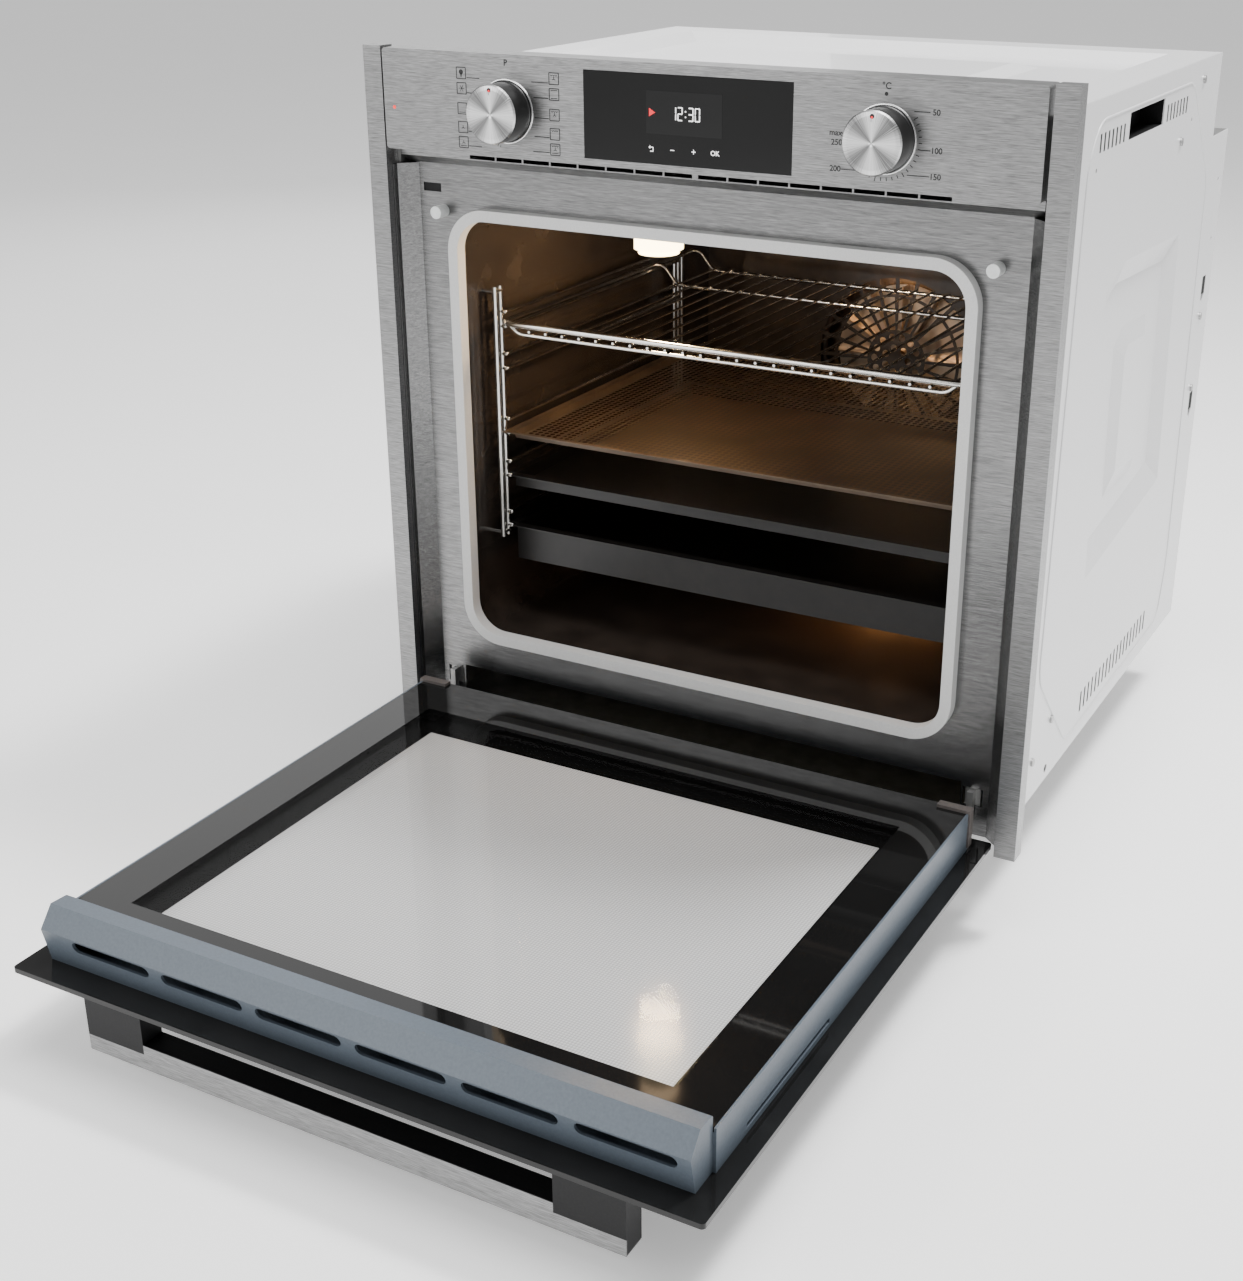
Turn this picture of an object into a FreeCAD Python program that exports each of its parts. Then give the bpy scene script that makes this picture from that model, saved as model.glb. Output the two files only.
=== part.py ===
"""Built-in wall oven with its drop-down door open: parametric model in millimetres.

+Z is up and +X is to the right of someone facing the oven, who stands on the -Y side.
Y = 0 is the plane of the cabinet's front edges, where the mounting flanges bear.
Z = 0 is the underside of the base panel, and X = 0 is the middle of the oven.
"""

import FreeCAD, Part
import math
import os
import re

import Sketcher

from FreeCAD import Placement, Rotation, Vector

doc = FreeCAD.newDocument("wall_oven")

# ---------------------------------------------------------------- driving dimensions

SIZES = {
    # trims at the sides of the front
    "overall_width": 595,
    "overall_height": 595,
    "trim_width": 17.5,
    "trim_depth": 17,
    "trim_wall": 1.2,
    "trim_drop": 8,
    # casing
    "body_width": 558,
    "body_height": 565,
    "upper_depth": 486,
    "full_depth": 547,
    "rear_box_height": 491,
    "panel_sheet": 1,
    "flange_sheet": 1,
    "seat_gap": 0.3,
    # side openings of the casing
    "vent_width": 4.6,
    "vent_pitch": 10.6,
    "front_vent_start": 108,
    "rear_vent_start": 303,
    "upper_vent_bottom": 525,
    "upper_vent_height": 14,
    "lower_vent_start": 209,
    "lower_vent_pitch": 11.8,
    "lower_vent_bottom": 24,
    "lower_vent_height": 20,
    "grip_start": 188,
    "grip_length": 104,
    "grip_bottom": 524.5,
    "grip_height": 21,
    "grip_depth": 20,
    # control panel
    "fascia_width": 553.4,
    "fascia_height": 79,
    "fascia_bottom": 507,
    "fascia_proud": 2.5,
    "fascia_depth": 25.5,
    "fascia_wall": 1.2,
    "display_width": 176,
    "display_height": 65.8,
    "display_bottom": 512.4,
    "display_glass": 3,
    "knob_offset": 159,
    "knob_axis_height": 543,
    "knob_radius": 23.3,
    "knob_length": 23,
    "knob_gap": 0.6,
    "spindle_radius": 3,
    "spindle_hole": 5,
    "selector_size": 38,
    "selector_depth": 26,
    "running_gap": 0.05,
    # vent strip under the control panel
    "vent_strip_face": -3,
    "vent_strip_bottom": 500,
    "vent_slot_height": 3.4,
    "vent_slot_width": 24.2,
    "vent_slot_pitch": 25.7,
    "vent_slot_bottom": 500.9,
    # cavity
    "cavity_half_width": 230,
    "cavity_floor": 76,
    "cavity_ceiling": 460,
    "cavity_depth": 470,
    "cavity_radius": 24,
    "cavity_sheet": 1,
    "lamp_drop": 42,
    "insulation": 27,
    # front frame and cavity mouth
    "frame_face": 7,
    "frame_sheet": 1.2,
    "frame_flange_front": -10,
    "frame_bottom": -6.5,
    "frame_top": 499,
    "frame_cove": 14,
    "inlet_half_width": 241.5,
    "inlet_top": 39,
    "mouth_step": 7.5,
    "mouth_half_width": "=cavity_half_width - mouth_step",
    "mouth_bottom": 81.5,
    "mouth_top": 451,
    "mouth_radius": 27,
    "gasket_width": 9.2,
    "gasket_height": 11,
    "bumper_offset": 241.5,
    "bumper_height": 455,
    "bumper_radius": 5.2,
    "bumper_length": 12.5,
    # racks and what they carry
    "rack_front": 43,
    "rack_rear": 370,
    "rack_wire": 2,
    "rack_standoff": 16.5,
    "rack_offset": "=cavity_half_width - rack_standoff",
    "wire_gap": 13,
    "lowest_level": 167,
    "second_level": 214.5,
    "third_level": 254,
    "fourth_level": 313,
    "top_level": 350.5,
    "rack_top": 386,
    "upright_pitch": 8,
    "tray_half_width": "=rack_offset + rack_wire - seat_gap",
    "tray_rim": 8.2,
    "tray_inner_half": "=tray_half_width - tray_rim",
    "tray_front": 43,
    "tray_rear": 398,
    "tray_sheet": 1,
    "shallow_depth": 12,
    "deep_depth": 34,
    "shelf_wire": 2.6,
    "shelf_rod": 1.3,
    "shelf_drop": 15,
    "dish_depth": 8,
    # convection fan
    "fan_height": 258,
    "fan_radius": 72,
    "fan_cover_face": 438,
    "fan_cover_half": 172,
    "fan_shaft": 4,
    "ring_radius": 86,
    "element_radius": 3.3,
    # cooling blower
    "blower_y": 345,
    "blower_z": 524,
    "blower_radius": 24,
    "blower_length": 180,
    # door, measured with the door open
    "pivot_y": -24.6,
    "pivot_z": 15.2,
    "pivot_radius": 4,
    "door_glass_half": 277,
    "door_tip": -513.4,
    "door_heel": -12,
    "door_under": -3,
    "glass_sheet": 4,
    "inner_glass_half": 260.5,
    "inner_glass_top": 34,
    "inner_glass_heel": -26,
    "rail_heel": -470,
    "rail_foot": -492,
    "rail_nose": -498,
    "rail_crown": -486,
    "rail_nose_height": 29,
    "rail_height": 44,
    "rail_half_length": 260,
    "rail_wall": 2,
    "rail_slot_width": 71,
    "rail_slot_pitch": 82.3,
    "rail_slot_start": -232,
    "rail_slot_round": 4.8,
    "side_rail_width": 4,
    "hinge_offset": 251.5,
    "hinge_arm_width": 5,
    # handle
    "handle_half": 219.6,
    "handle_post": 52,
    "handle_front": -504,
    "handle_back": -485,
    "handle_reach": 51.7,
    "handle_bar_height": 20.2,
    "handle_skin": 0.8,
    "handle_lip": 12.7,
}

sheet = doc.addObject("Spreadsheet::Sheet", "Sizes")
for row, (alias, value) in enumerate(SIZES.items(), start=1):
    sheet.set(f"A{row}", alias)
    sheet.set(f"B{row}", str(value))
    sheet.setAlias(f"B{row}", alias)
doc.recompute()


def size(alias):
    """A driving dimension's value, read from the sheet."""
    return float(sheet.get(alias))


# ---------------------------------------------------------------- ways of making shapes

PARTS = []  # the finished sub-parts, in the order that they are made


def formula(text):
    """The text with every driving dimension's name written as a cell of the sheet."""
    return re.sub(r"[a-z][a-z_]+", lambda m: "Sizes." + m[0] if m[0] in SIZES else m[0], str(text))


def bind(thing, prop, text):
    """Ties a property to a formula of driving dimensions."""
    thing.setExpression(prop, formula(text))


def part(thing, label):
    """Takes a finished object as the sub-part that its label names."""
    thing.Label = label
    PARTS.append(thing)
    return thing


def block(x, y, z):
    """A box between a low and a high formula along each axis."""
    box = doc.addObject("Part::Box", "Block")
    for prop, base, (low, high) in zip(("Length", "Width", "Height"), "xyz", (x, y, z)):
        bind(box, prop, f"({high}) - ({low})")
        bind(box, f"Placement.Base.{base}", low)
    return box


def rod(radius, axis, x, y, z):
    """A cylinder along an axis: that axis gets a low and a high formula, the others one each."""
    cylinder = doc.addObject("Part::Cylinder", "Rod")
    turn = {"x": Rotation(Vector(0, 1, 0), 90), "y": Rotation(Vector(1, 0, 0), -90), "z": Rotation()}
    cylinder.Placement = Placement(Vector(), turn[axis])
    bind(cylinder, "Radius", radius)
    for base, place in zip("xyz", (x, y, z)):
        if base == axis:
            bind(cylinder, "Height", f"({place[1]}) - ({place[0]})")
            place = place[0]
        bind(cylinder, f"Placement.Base.{base}", place)
    return cylinder


def join(*things):
    """One solid from touching or overlapping ones."""
    union = doc.addObject("Part::MultiFuse", "Join")
    union.Shapes = list(things)
    union.Refine = True
    return union


def collect(*things):
    """Separate solids held in one sub-part."""
    bundle = doc.addObject("Part::Compound", "Group")
    bundle.Links = list(things)
    return bundle


def cut(base, *tools):
    """The base with every tool taken out of it."""
    result = doc.addObject("Part::Cut", "Cut")
    result.Base = base
    result.Tool = tools[0] if len(tools) == 1 else collect(*tools)
    result.Refine = True
    return result


def rounded_block(x, y, z, radius):
    """A box whose four edges along Y are rounded."""
    (left, right), (low, high) = x, z
    radius = f"({radius})"
    pieces = [
        block((f"{left} + {radius}", f"{right} - {radius}"), y, z),
        block(x, y, (f"{low} + {radius}", f"{high} - {radius}")),
    ]
    for px in (f"{left} + {radius}", f"{right} - {radius}"):
        for pz in (f"{low} + {radius}", f"{high} - {radius}"):
            pieces.append(rod(radius, "y", px, y, pz))
    return join(*pieces)


def plate(x, y, z, radius):
    """A flat plate in the XY plane whose four upright edges are rounded."""
    (left, right), (low, high) = x, y
    radius = f"({radius})"
    pieces = [
        block((f"{left} + {radius}", f"{right} - {radius}"), y, z),
        block(x, (f"{low} + {radius}", f"{high} - {radius}"), z),
    ]
    for px in (f"{left} + {radius}", f"{right} - {radius}"):
        for py in (f"{low} + {radius}", f"{high} - {radius}"):
            pieces.append(rod(radius, "z", px, py, z))
    return join(*pieces)


def mirrored_pair(make, name):
    """A left and a right sub-part from one function of the side, -1 or +1."""
    for side, word in ((-1, "left"), (1, "right")):
        part(make(side), f"{name}_{word}")


def span(side, near, far):
    """The X formulas, low then high, of a piece between two distances from the middle."""
    return (f"-({far})", f"-({near})") if side < 0 else (near, far)


# ---------------------------------------------------------------- sketched bodies

def new_body(label):
    """A sketched body that is taken as the sub-part of that name."""
    return part(doc.addObject("PartDesign::Body", label), label)


def outline(body, plane, offset, corners):
    """A closed outline on an origin plane, moved along its normal; each corner is two formulas."""
    sketch = body.newObject("Sketcher::SketchObject", "Outline")
    support = [f for f in body.Origin.OriginFeatures if f.Role == plane]
    sketch.AttachmentSupport = [(support[0], "")]
    sketch.MapMode = "FlatFace"
    bind(sketch, "AttachmentOffset.Base.z", offset)
    count = len(corners)
    guess = [
        Vector(100 * math.cos(2 * math.pi * i / count), 100 * math.sin(2 * math.pi * i / count), 0)
        for i in range(count)
    ]
    for i in range(count):
        sketch.addGeometry(Part.LineSegment(guess[i], guess[(i + 1) % count]))
    for i in range(count):
        sketch.addConstraint(Sketcher.Constraint("Coincident", i, 2, (i + 1) % count, 1))
    for i, corner in enumerate(corners):
        for kind, start, place in zip(("DistanceX", "DistanceY"), (guess[i].x, guess[i].y), corner):
            at = sketch.addConstraint(Sketcher.Constraint(kind, -1, 1, i, 1, start))
            sketch.setExpression(f"Constraints[{at}]", formula(place))
    return sketch


def pad(body, sketch, length, reverse=False):
    feature = body.newObject("PartDesign::Pad", "Pad")
    feature.Profile = sketch
    bind(feature, "Length", length)
    feature.Reversed = reverse
    return feature


def pocket(body, sketch, depth, reverse=False):
    feature = body.newObject("PartDesign::Pocket", "Pocket")
    feature.Profile = sketch
    bind(feature, "Length", depth)
    feature.Reversed = reverse
    return feature


def repeat(body, feature, sketch, axis, pitch, count):
    """A linear pattern of a feature along one axis of its sketch."""
    pattern = body.newObject("PartDesign::LinearPattern", "Repeat")
    pattern.Originals = [feature]
    pattern.Direction = (sketch, [axis])
    bind(pattern, "Length", f"({pitch}) * {count - 1}")
    pattern.Occurrences = count
    body.Tip = pattern
    return pattern


def rectangle(low_x, low_y, high_x, high_y):
    return [(low_x, low_y), (high_x, low_y), (high_x, high_y), (low_x, high_y)]


# ---------------------------------------------------------------- trims and mounting flanges

def side_trim(side):
    """Folded channel that covers the gap to the cabinet, closed at its top end."""
    x = span(side, "overall_width/2 - trim_width", "overall_width/2")
    y = ("-trim_depth", "-flange_sheet - seat_gap")
    z = ("-trim_drop", "overall_height - trim_drop")
    inner_x = span(side, "overall_width/2 - trim_width + trim_wall", "overall_width/2 - trim_wall")
    hollow = block(inner_x, ("-trim_depth + trim_wall", "1"), (z[0] + " - 1", z[1] + " - trim_wall"))
    return cut(block(x, y, z), hollow)


def mounting_flange(side):
    """Angle inside each side panel whose outer leg bears on the cabinet's front edge."""
    leg = block(
        span(side, "body_width/2 - panel_sheet - flange_sheet", "body_width/2 - panel_sheet"),
        ("-flange_sheet", "20"),
        ("panel_sheet", "body_height - panel_sheet"),
    )
    face = block(
        span(side, "body_width/2 - panel_sheet - flange_sheet", "overall_width/2 - trim_wall - seat_gap"),
        ("-flange_sheet", "0"),
        ("panel_sheet", "body_height - panel_sheet"),
    )
    rebate = block(
        span(side, "body_width/2 - panel_sheet", "body_width/2 + 0.1"),
        ("-flange_sheet/2", "1"),
        ("0", "body_height"),
    )
    return cut(join(leg, face), rebate)


mirrored_pair(side_trim, "side_trim")
part(collect(mounting_flange(-1), mounting_flange(1)), "mounting_flanges")

# ---------------------------------------------------------------- casing panels

def outline_wire(corners, flat_axis):
    """A closed outline from pairs of places, in the plane that the flat axis is normal to."""
    wire = doc.addObject("Part::Polygon", "DishEdge")
    if flat_axis == "x":
        wire.Nodes = [Vector(0, a, b) for a, b in corners]
    else:
        wire.Nodes = [Vector(a, b, 0) for a, b in corners]
    wire.Close = True
    return wire


def pressing(edge, floor, axis, start, end):
    """A tapered plug between an edge outline and a floor outline, each at its own level."""
    wires = [outline_wire(edge, axis), outline_wire(floor, axis)]
    for wire, level in zip(wires, (start, end)):
        bind(wire, f"Placement.Base.{axis}", level)
    plug = doc.addObject("Part::Loft", "Pressing")
    plug.Sections = wires
    plug.Solid = True
    plug.Ruled = True
    return plug


def pressed(sheet_body, outer, floor, ridge, crest, axis, face, inward):
    """A flat sheet with a dish pressed inward from its face, and a raised island in the dish."""
    deep = f"{face} + ({inward}) * dish_depth"
    skin = f"({inward}) * panel_sheet"
    island = f"{face} + ({inward}) * dish_depth/3"
    plug = pressing(outer, floor, axis, face, deep)
    backing = pressing(outer, floor, axis, f"{face} + {skin}", f"{deep} + {skin}")
    bump = pressing(ridge, crest, axis, deep, island)
    bump_back = pressing(ridge, crest, axis, f"{deep} + {skin}", f"{island} + {skin}")
    return cut(join(cut(sheet_body, plug), cut(backing, plug), bump), bump_back)


def across(points, depth, height):
    """Places given as shares of the panel's depth and height."""
    return [(size(depth) * a, size(height) * b) for a, b in points]


SIDE_EDGE = ((0.340, 0.892), (0.449, 0.926), (0.807, 0.909), (0.854, 0.398), (0.382, 0.348))
SIDE_FLOOR = ((0.389, 0.856), (0.463, 0.881), (0.770, 0.863), (0.808, 0.445), (0.424, 0.402))
SIDE_RIDGE = ((0.486, 0.760), (0.535, 0.787), (0.685, 0.776), (0.693, 0.469), (0.508, 0.463))
SIDE_CREST = ((0.525, 0.735), (0.543, 0.754), (0.652, 0.746), (0.658, 0.502), (0.537, 0.509))


def side_panel(side, label):
    """Side sheet with its air slots, the hand grip's hole, the pressed dish and the rear step."""
    body = doc.addObject("PartDesign::Body", "PanelBlank")
    offset = "body_width/2 - panel_sheet" if side > 0 else "-body_width/2"
    edge = [
        ("seat_gap", "0"),
        ("full_depth", "0"),
        ("full_depth", "rear_box_height"),
        ("upper_depth", "rear_box_height"),
        ("upper_depth", "body_height"),
        ("seat_gap", "body_height"),
    ]
    pad(body, outline(body, "YZ_Plane", offset, edge), "panel_sheet")
    rows = [
        ("front_vent_start", "upper_vent_bottom", "upper_vent_height", "vent_pitch", 7),
        ("rear_vent_start", "upper_vent_bottom", "upper_vent_height", "vent_pitch", 7),
        ("lower_vent_start", "lower_vent_bottom", "lower_vent_height", "lower_vent_pitch", 19),
    ]
    for start, bottom, height, pitch, count in rows:
        slot = rectangle(start, bottom, f"{start} + vent_width", f"{bottom} + {height}")
        sketch = outline(body, "YZ_Plane", offset, slot)
        feature = pocket(body, sketch, "panel_sheet * 2", reverse=True)
        doc.recompute()
        repeat(body, feature, sketch, "H_Axis", pitch, count)
    grip = rectangle("grip_start", "grip_bottom", "grip_start + grip_length", "grip_bottom + grip_height")
    body.Tip = pocket(body, outline(body, "YZ_Plane", offset, grip), "panel_sheet * 2", reverse=True)
    for top, front, back in (("357.3", "35.5", "22.4"), ("242.5", "33", "20.3")):
        clip_slot = [
            (f"full_depth - {front}", top),
            (f"full_depth - {back}", top),
            (f"full_depth - {back}", f"{top} - 18"),
            (f"full_depth - {back} - 6", f"{top} - 26.6"),
            (f"full_depth - {front}", f"{top} - 21"),
        ]
        body.Tip = pocket(body, outline(body, "YZ_Plane", offset, clip_slot), "panel_sheet * 2", reverse=True)
    holes = [
        rod(str(hole_radius), "x", span(side, "body_width/2 - panel_sheet - 1", "body_width/2 + 1"), y, z)
        for y, z, hole_radius in (
            ("104.4", "512.8", 2),
            ("393", "516.8", 2),
            ("full_depth - 19", "447", 2),
            ("full_depth - 19.4", "391.5", 2),
            ("116", "10.4", 4),
        )
    ]
    outlines = [
        across(points, "upper_depth", "cavity_ceiling")
        for points in (SIDE_EDGE, SIDE_FLOOR, SIDE_RIDGE, SIDE_CREST)
    ]
    part(cut(pressed(body, *outlines, "x", f"{side} * body_width/2", str(-side)), *holes), label)


side_panel(-1, "side_panel_left")
side_panel(1, "side_panel_right")


def grip_cup(side):
    """Moulded cup behind the hand-grip hole, open to the side."""
    wall = 1.5
    gap = "seat_gap"
    near = f"body_width/2 - panel_sheet - {gap} - grip_depth"
    far = f"body_width/2 - panel_sheet - {gap}"
    y = ("grip_start", "grip_start + grip_length")
    z = ("grip_bottom", "grip_bottom + grip_height")
    outer = block(
        span(side, near, far),
        (f"{y[0]} - {wall}", f"{y[1]} + {wall}"),
        (f"{z[0]} - {wall}", f"{z[1]} + {wall}"),
    )
    inner = block(span(side, f"{near} + {wall}", f"{far} + 1"), y, z)
    return cut(outer, inner)


part(collect(grip_cup(-1), grip_cup(1)), "grip_cups")

INSIDE = ("-body_width/2 + panel_sheet + seat_gap", "body_width/2 - panel_sheet - seat_gap")


def inset(share_x, share_front, share_back):
    """Four corners of a rectangle on the top panel, as shares of its width and depth."""
    x = size("body_width") * share_x
    front = size("upper_depth") * share_front
    back = size("upper_depth") * share_back
    return [(-x, front), (x, front), (x, back), (-x, back)]


top_blank = block(
    INSIDE,
    ("frame_face + frame_sheet + seat_gap", "upper_depth"),
    ("body_height - panel_sheet", "body_height"),
)
top_edges = [
    inset(0.43, 0.09, 0.92),
    inset(0.40, 0.135, 0.875),
    inset(0.27, 0.28, 0.73),
    inset(0.24, 0.325, 0.685),
]
part(pressed(top_blank, *top_edges, "z", "body_height", "-1"), "top_panel")
base_wide = block(
    INSIDE,
    ("frame_face + frame_sheet + seat_gap", "upper_depth - seat_gap"),
    ("0", "panel_sheet"),
)
base_tongue = block(
    ("-inlet_half_width + 1", "inlet_half_width - 1"),
    ("-4", "frame_face + frame_sheet + seat_gap + 1"),
    ("0", "panel_sheet"),
)
part(join(base_wide, base_tongue), "base_panel")

# Rear bulkhead between the cavity and the rear box, with holes for the fan motor and the wiring.
bulkhead = block(
    INSIDE,
    ("upper_depth", "upper_depth + panel_sheet"),
    ("panel_sheet + seat_gap", "rear_box_height - seat_gap"),
)
bulkhead_top = block(
    INSIDE,
    ("upper_depth - panel_sheet - seat_gap", "upper_depth - seat_gap"),
    ("rear_box_height - 12", "body_height - panel_sheet - seat_gap"),
)
bulkhead_step = block(
    INSIDE,
    ("upper_depth - panel_sheet - seat_gap", "upper_depth + panel_sheet"),
    ("rear_box_height - seat_gap - panel_sheet", "rear_box_height - seat_gap"),
)
part(
    cut(
        join(bulkhead, bulkhead_step, bulkhead_top),
        rod("40", "y", "0", ("upper_depth - 5", "upper_depth + 5"), "fan_height"),
        rod("10", "y", "-200", ("upper_depth - 5", "upper_depth + 5"), "450"),
    ),
    "rear_bulkhead",
)

# Pressed cover of the rear box, open towards the oven, with the hole of the cable gland.
cover_outer = block(
    INSIDE,
    ("upper_depth + panel_sheet + seat_gap", "full_depth"),
    ("0", "rear_box_height"),
)
cover_inner = block(
    (INSIDE[0] + " + panel_sheet", INSIDE[1] + " - panel_sheet"),
    ("upper_depth", "full_depth - panel_sheet"),
    ("panel_sheet", "rear_box_height - panel_sheet"),
)
gland_hole = rod("10.2", "y", "-200", ("full_depth - 5", "full_depth + 5"), "440")
cover_vents = [
    block((f"{-60 + 20 * i}", f"{-52 + 20 * i}"), ("full_depth - 5", "full_depth + 5"), ("380", "430"))
    for i in range(7)
]
part(cut(cover_outer, cover_inner, gland_hole, *cover_vents), "rear_cover")

gland_body = join(
    rod("10", "y", "-200", ("full_depth - 16", "full_depth - panel_sheet"), "440"),
    rod("10.2 - running_gap", "y", "-200", ("full_depth - panel_sheet", "full_depth"), "440"),
    rod("13", "y", "-200", ("full_depth - 16", "full_depth - 12"), "440"),
)
part(cut(gland_body, rod("5", "y", "-200", ("full_depth - 20", "full_depth + 2"), "440")), "cable_gland")
part(
    block(("-222", "-178"), ("upper_depth + panel_sheet", "upper_depth + 20"), ("385", "420")),
    "terminal_block",
)

# ---------------------------------------------------------------- control panel

FASCIA_X = ("-fascia_width/2", "fascia_width/2")
FASCIA_FRONT = "-trim_depth - fascia_proud"
FASCIA_BACK = f"{FASCIA_FRONT} + fascia_depth"
FASCIA_Z = ("fascia_bottom", "fascia_bottom + fascia_height")
DISPLAY_X = ("-display_width/2", "display_width/2")
DISPLAY_Z = ("display_bottom", "display_bottom + display_height")

fascia_shell = cut(
    rounded_block(FASCIA_X, (FASCIA_FRONT, FASCIA_BACK), FASCIA_Z, "3"),
    block(
        ("-fascia_width/2 + fascia_wall", "fascia_width/2 - fascia_wall"),
        (f"{FASCIA_FRONT} + fascia_wall", f"{FASCIA_BACK} + 1"),
        ("fascia_bottom + fascia_wall", "fascia_bottom + fascia_height - fascia_wall"),
    ),
    block(
        (DISPLAY_X[0] + " - 0.2", DISPLAY_X[1] + " + 0.2"),
        (f"{FASCIA_FRONT} - 1", f"{FASCIA_FRONT} + 5"),
        (DISPLAY_Z[0] + " - 0.2", DISPLAY_Z[1] + " + 0.2"),
    ),
    rod("spindle_hole", "y", "-knob_offset", (f"{FASCIA_FRONT} - 1", f"{FASCIA_FRONT} + 5"), "knob_axis_height"),
    rod("spindle_hole", "y", "knob_offset", (f"{FASCIA_FRONT} - 1", f"{FASCIA_FRONT} + 5"), "knob_axis_height"),
    rod("1.4", "y", "-267", (f"{FASCIA_FRONT} - 1", f"{FASCIA_FRONT} + 5"), "540"),
)
part(fascia_shell, "control_fascia")
part(
    rod("1.3", "y", "-267", (f"{FASCIA_FRONT} - 0.2", f"{FASCIA_FRONT} + 4"), "540"),
    "indicator_lens",
)
part(block(DISPLAY_X, (FASCIA_FRONT, f"{FASCIA_FRONT} + display_glass"), DISPLAY_Z), "display_glass")
display_module = block(
    ("-34", "34"),
    (f"{FASCIA_FRONT} + display_glass", f"{FASCIA_FRONT} + display_glass + 4"),
    ("533", "569"),
)
board = block(
    ("-84", "84"),
    (f"{FASCIA_FRONT} + display_glass + 4", f"{FASCIA_FRONT} + display_glass + 5.6"),
    ("514", "576"),
)
part(join(display_module, board), "control_board")

# Steel carrier that closes the control panel's back and holds the selectors and the board.
carrier_face = block(
    ("-fascia_width/2 + 6", "fascia_width/2 - 6"),
    (f"{FASCIA_BACK} - 1.2", FASCIA_BACK),
    ("fascia_bottom + fascia_wall + seat_gap", "fascia_bottom + fascia_height - fascia_wall - seat_gap"),
)
part(carrier_face, "panel_carrier")


def selector(side):
    """Rotary switch body that a knob's spindle turns in."""
    half = "selector_size/2"
    front = f"{FASCIA_FRONT} + fascia_wall"
    base = block(
        (f"{side} * knob_offset - {half}", f"{side} * knob_offset + {half}"),
        (front, f"{FASCIA_BACK} - 1.2"),
        (f"knob_axis_height - {half}", f"knob_axis_height + {half}"),
    )
    bore = rod("spindle_radius + running_gap", "y", f"{side} * knob_offset", (f"{front} - 1", f"{front} + 18"),
               "knob_axis_height")
    return cut(base, bore)


part(collect(selector(-1), selector(1)), "rotary_selectors")


def knob(side, label):
    """Turned knob with a bevelled face and a base lip, a pointer groove and its steel spindle."""
    body = new_body(label)
    profile = [
        ("0", "-knob_gap - fascia_wall - 14"),
        ("spindle_radius", "-knob_gap - fascia_wall - 14"),
        ("spindle_radius", "0"),
        ("knob_radius", "0"),
        ("knob_radius", "1.2"),
        ("knob_radius - 0.6", "1.8"),
        ("knob_radius - 0.6", "knob_length - 1.6"),
        ("knob_radius - 1.6", "knob_length - 0.3"),
        ("knob_radius - 4.6", "knob_length"),
        ("0", "knob_length - 0.5"),
    ]
    sketch = outline(body, "XZ_Plane", "0", profile)
    turn = body.newObject("PartDesign::Revolution", "Turn")
    turn.Profile = sketch
    turn.ReferenceAxis = (sketch, ["V_Axis"])
    turn.Angle = 360
    doc.recompute()
    mark = rectangle("-0.9", "knob_radius - 8.6", "0.9", "knob_radius - 5")
    pocket(body, outline(body, "XY_Plane", "knob_length + 1", mark), "1.8")
    body.Placement = Placement(Vector(), Rotation(Vector(1, 0, 0), 90))
    bind(body, "Placement.Base.x", f"{side} * knob_offset")
    bind(body, "Placement.Base.y", f"{FASCIA_FRONT} - knob_gap")
    bind(body, "Placement.Base.z", "knob_axis_height")


knob(-1, "function_knob")
knob(1, "temperature_knob")

# ---------------------------------------------------------------- vent strip and front frame

vent_strip = new_body("vent_strip")
strip_section = [
    ("vent_strip_face", "vent_strip_bottom"),
    ("vent_strip_face", "fascia_bottom - seat_gap"),
    ("frame_face - 1", "fascia_bottom - seat_gap"),
    ("frame_face - 1", "fascia_bottom - seat_gap - 1"),
    ("vent_strip_face + 1", "fascia_bottom - seat_gap - 1"),
    ("vent_strip_face + 1", "vent_strip_bottom + 0.4"),
    ("frame_face - seat_gap", "frame_top - 4.6"),
    ("frame_face - seat_gap", "frame_top - 5.6"),
]
pad(
    vent_strip,
    outline(vent_strip, "YZ_Plane", "-fascia_width/2 + 1.5", strip_section),
    "fascia_width - 3",
)
slot = rectangle(
    "-8 * vent_slot_pitch - 1",
    "vent_slot_bottom",
    "-8 * vent_slot_pitch - 1 + vent_slot_width",
    "vent_slot_bottom + vent_slot_height",
)
slot_sketch = outline(vent_strip, "XZ_Plane", "-vent_strip_face - 2", slot)
slot_cut = pocket(vent_strip, slot_sketch, "4", reverse=True)
doc.recompute()
left_slots = repeat(vent_strip, slot_cut, slot_sketch, "H_Axis", "vent_slot_pitch", 8)
slot = rectangle(
    "2.5",
    "vent_slot_bottom",
    "2.5 + vent_slot_width",
    "vent_slot_bottom + vent_slot_height",
)
slot_sketch = outline(vent_strip, "XZ_Plane", "-vent_strip_face - 2", slot)
slot_cut = pocket(vent_strip, slot_sketch, "4", reverse=True)
doc.recompute()
repeat(vent_strip, slot_cut, slot_sketch, "H_Axis", "vent_slot_pitch", 8)

MOUTH_X = ("-mouth_half_width", "mouth_half_width")
MOUTH_Z = ("mouth_bottom", "mouth_top")
frame_plate = block(
    ("-body_width/2 + frame_cove", "body_width/2 - frame_cove"),
    ("frame_face", "frame_face + frame_sheet"),
    ("frame_bottom", "frame_top"),
)


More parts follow.
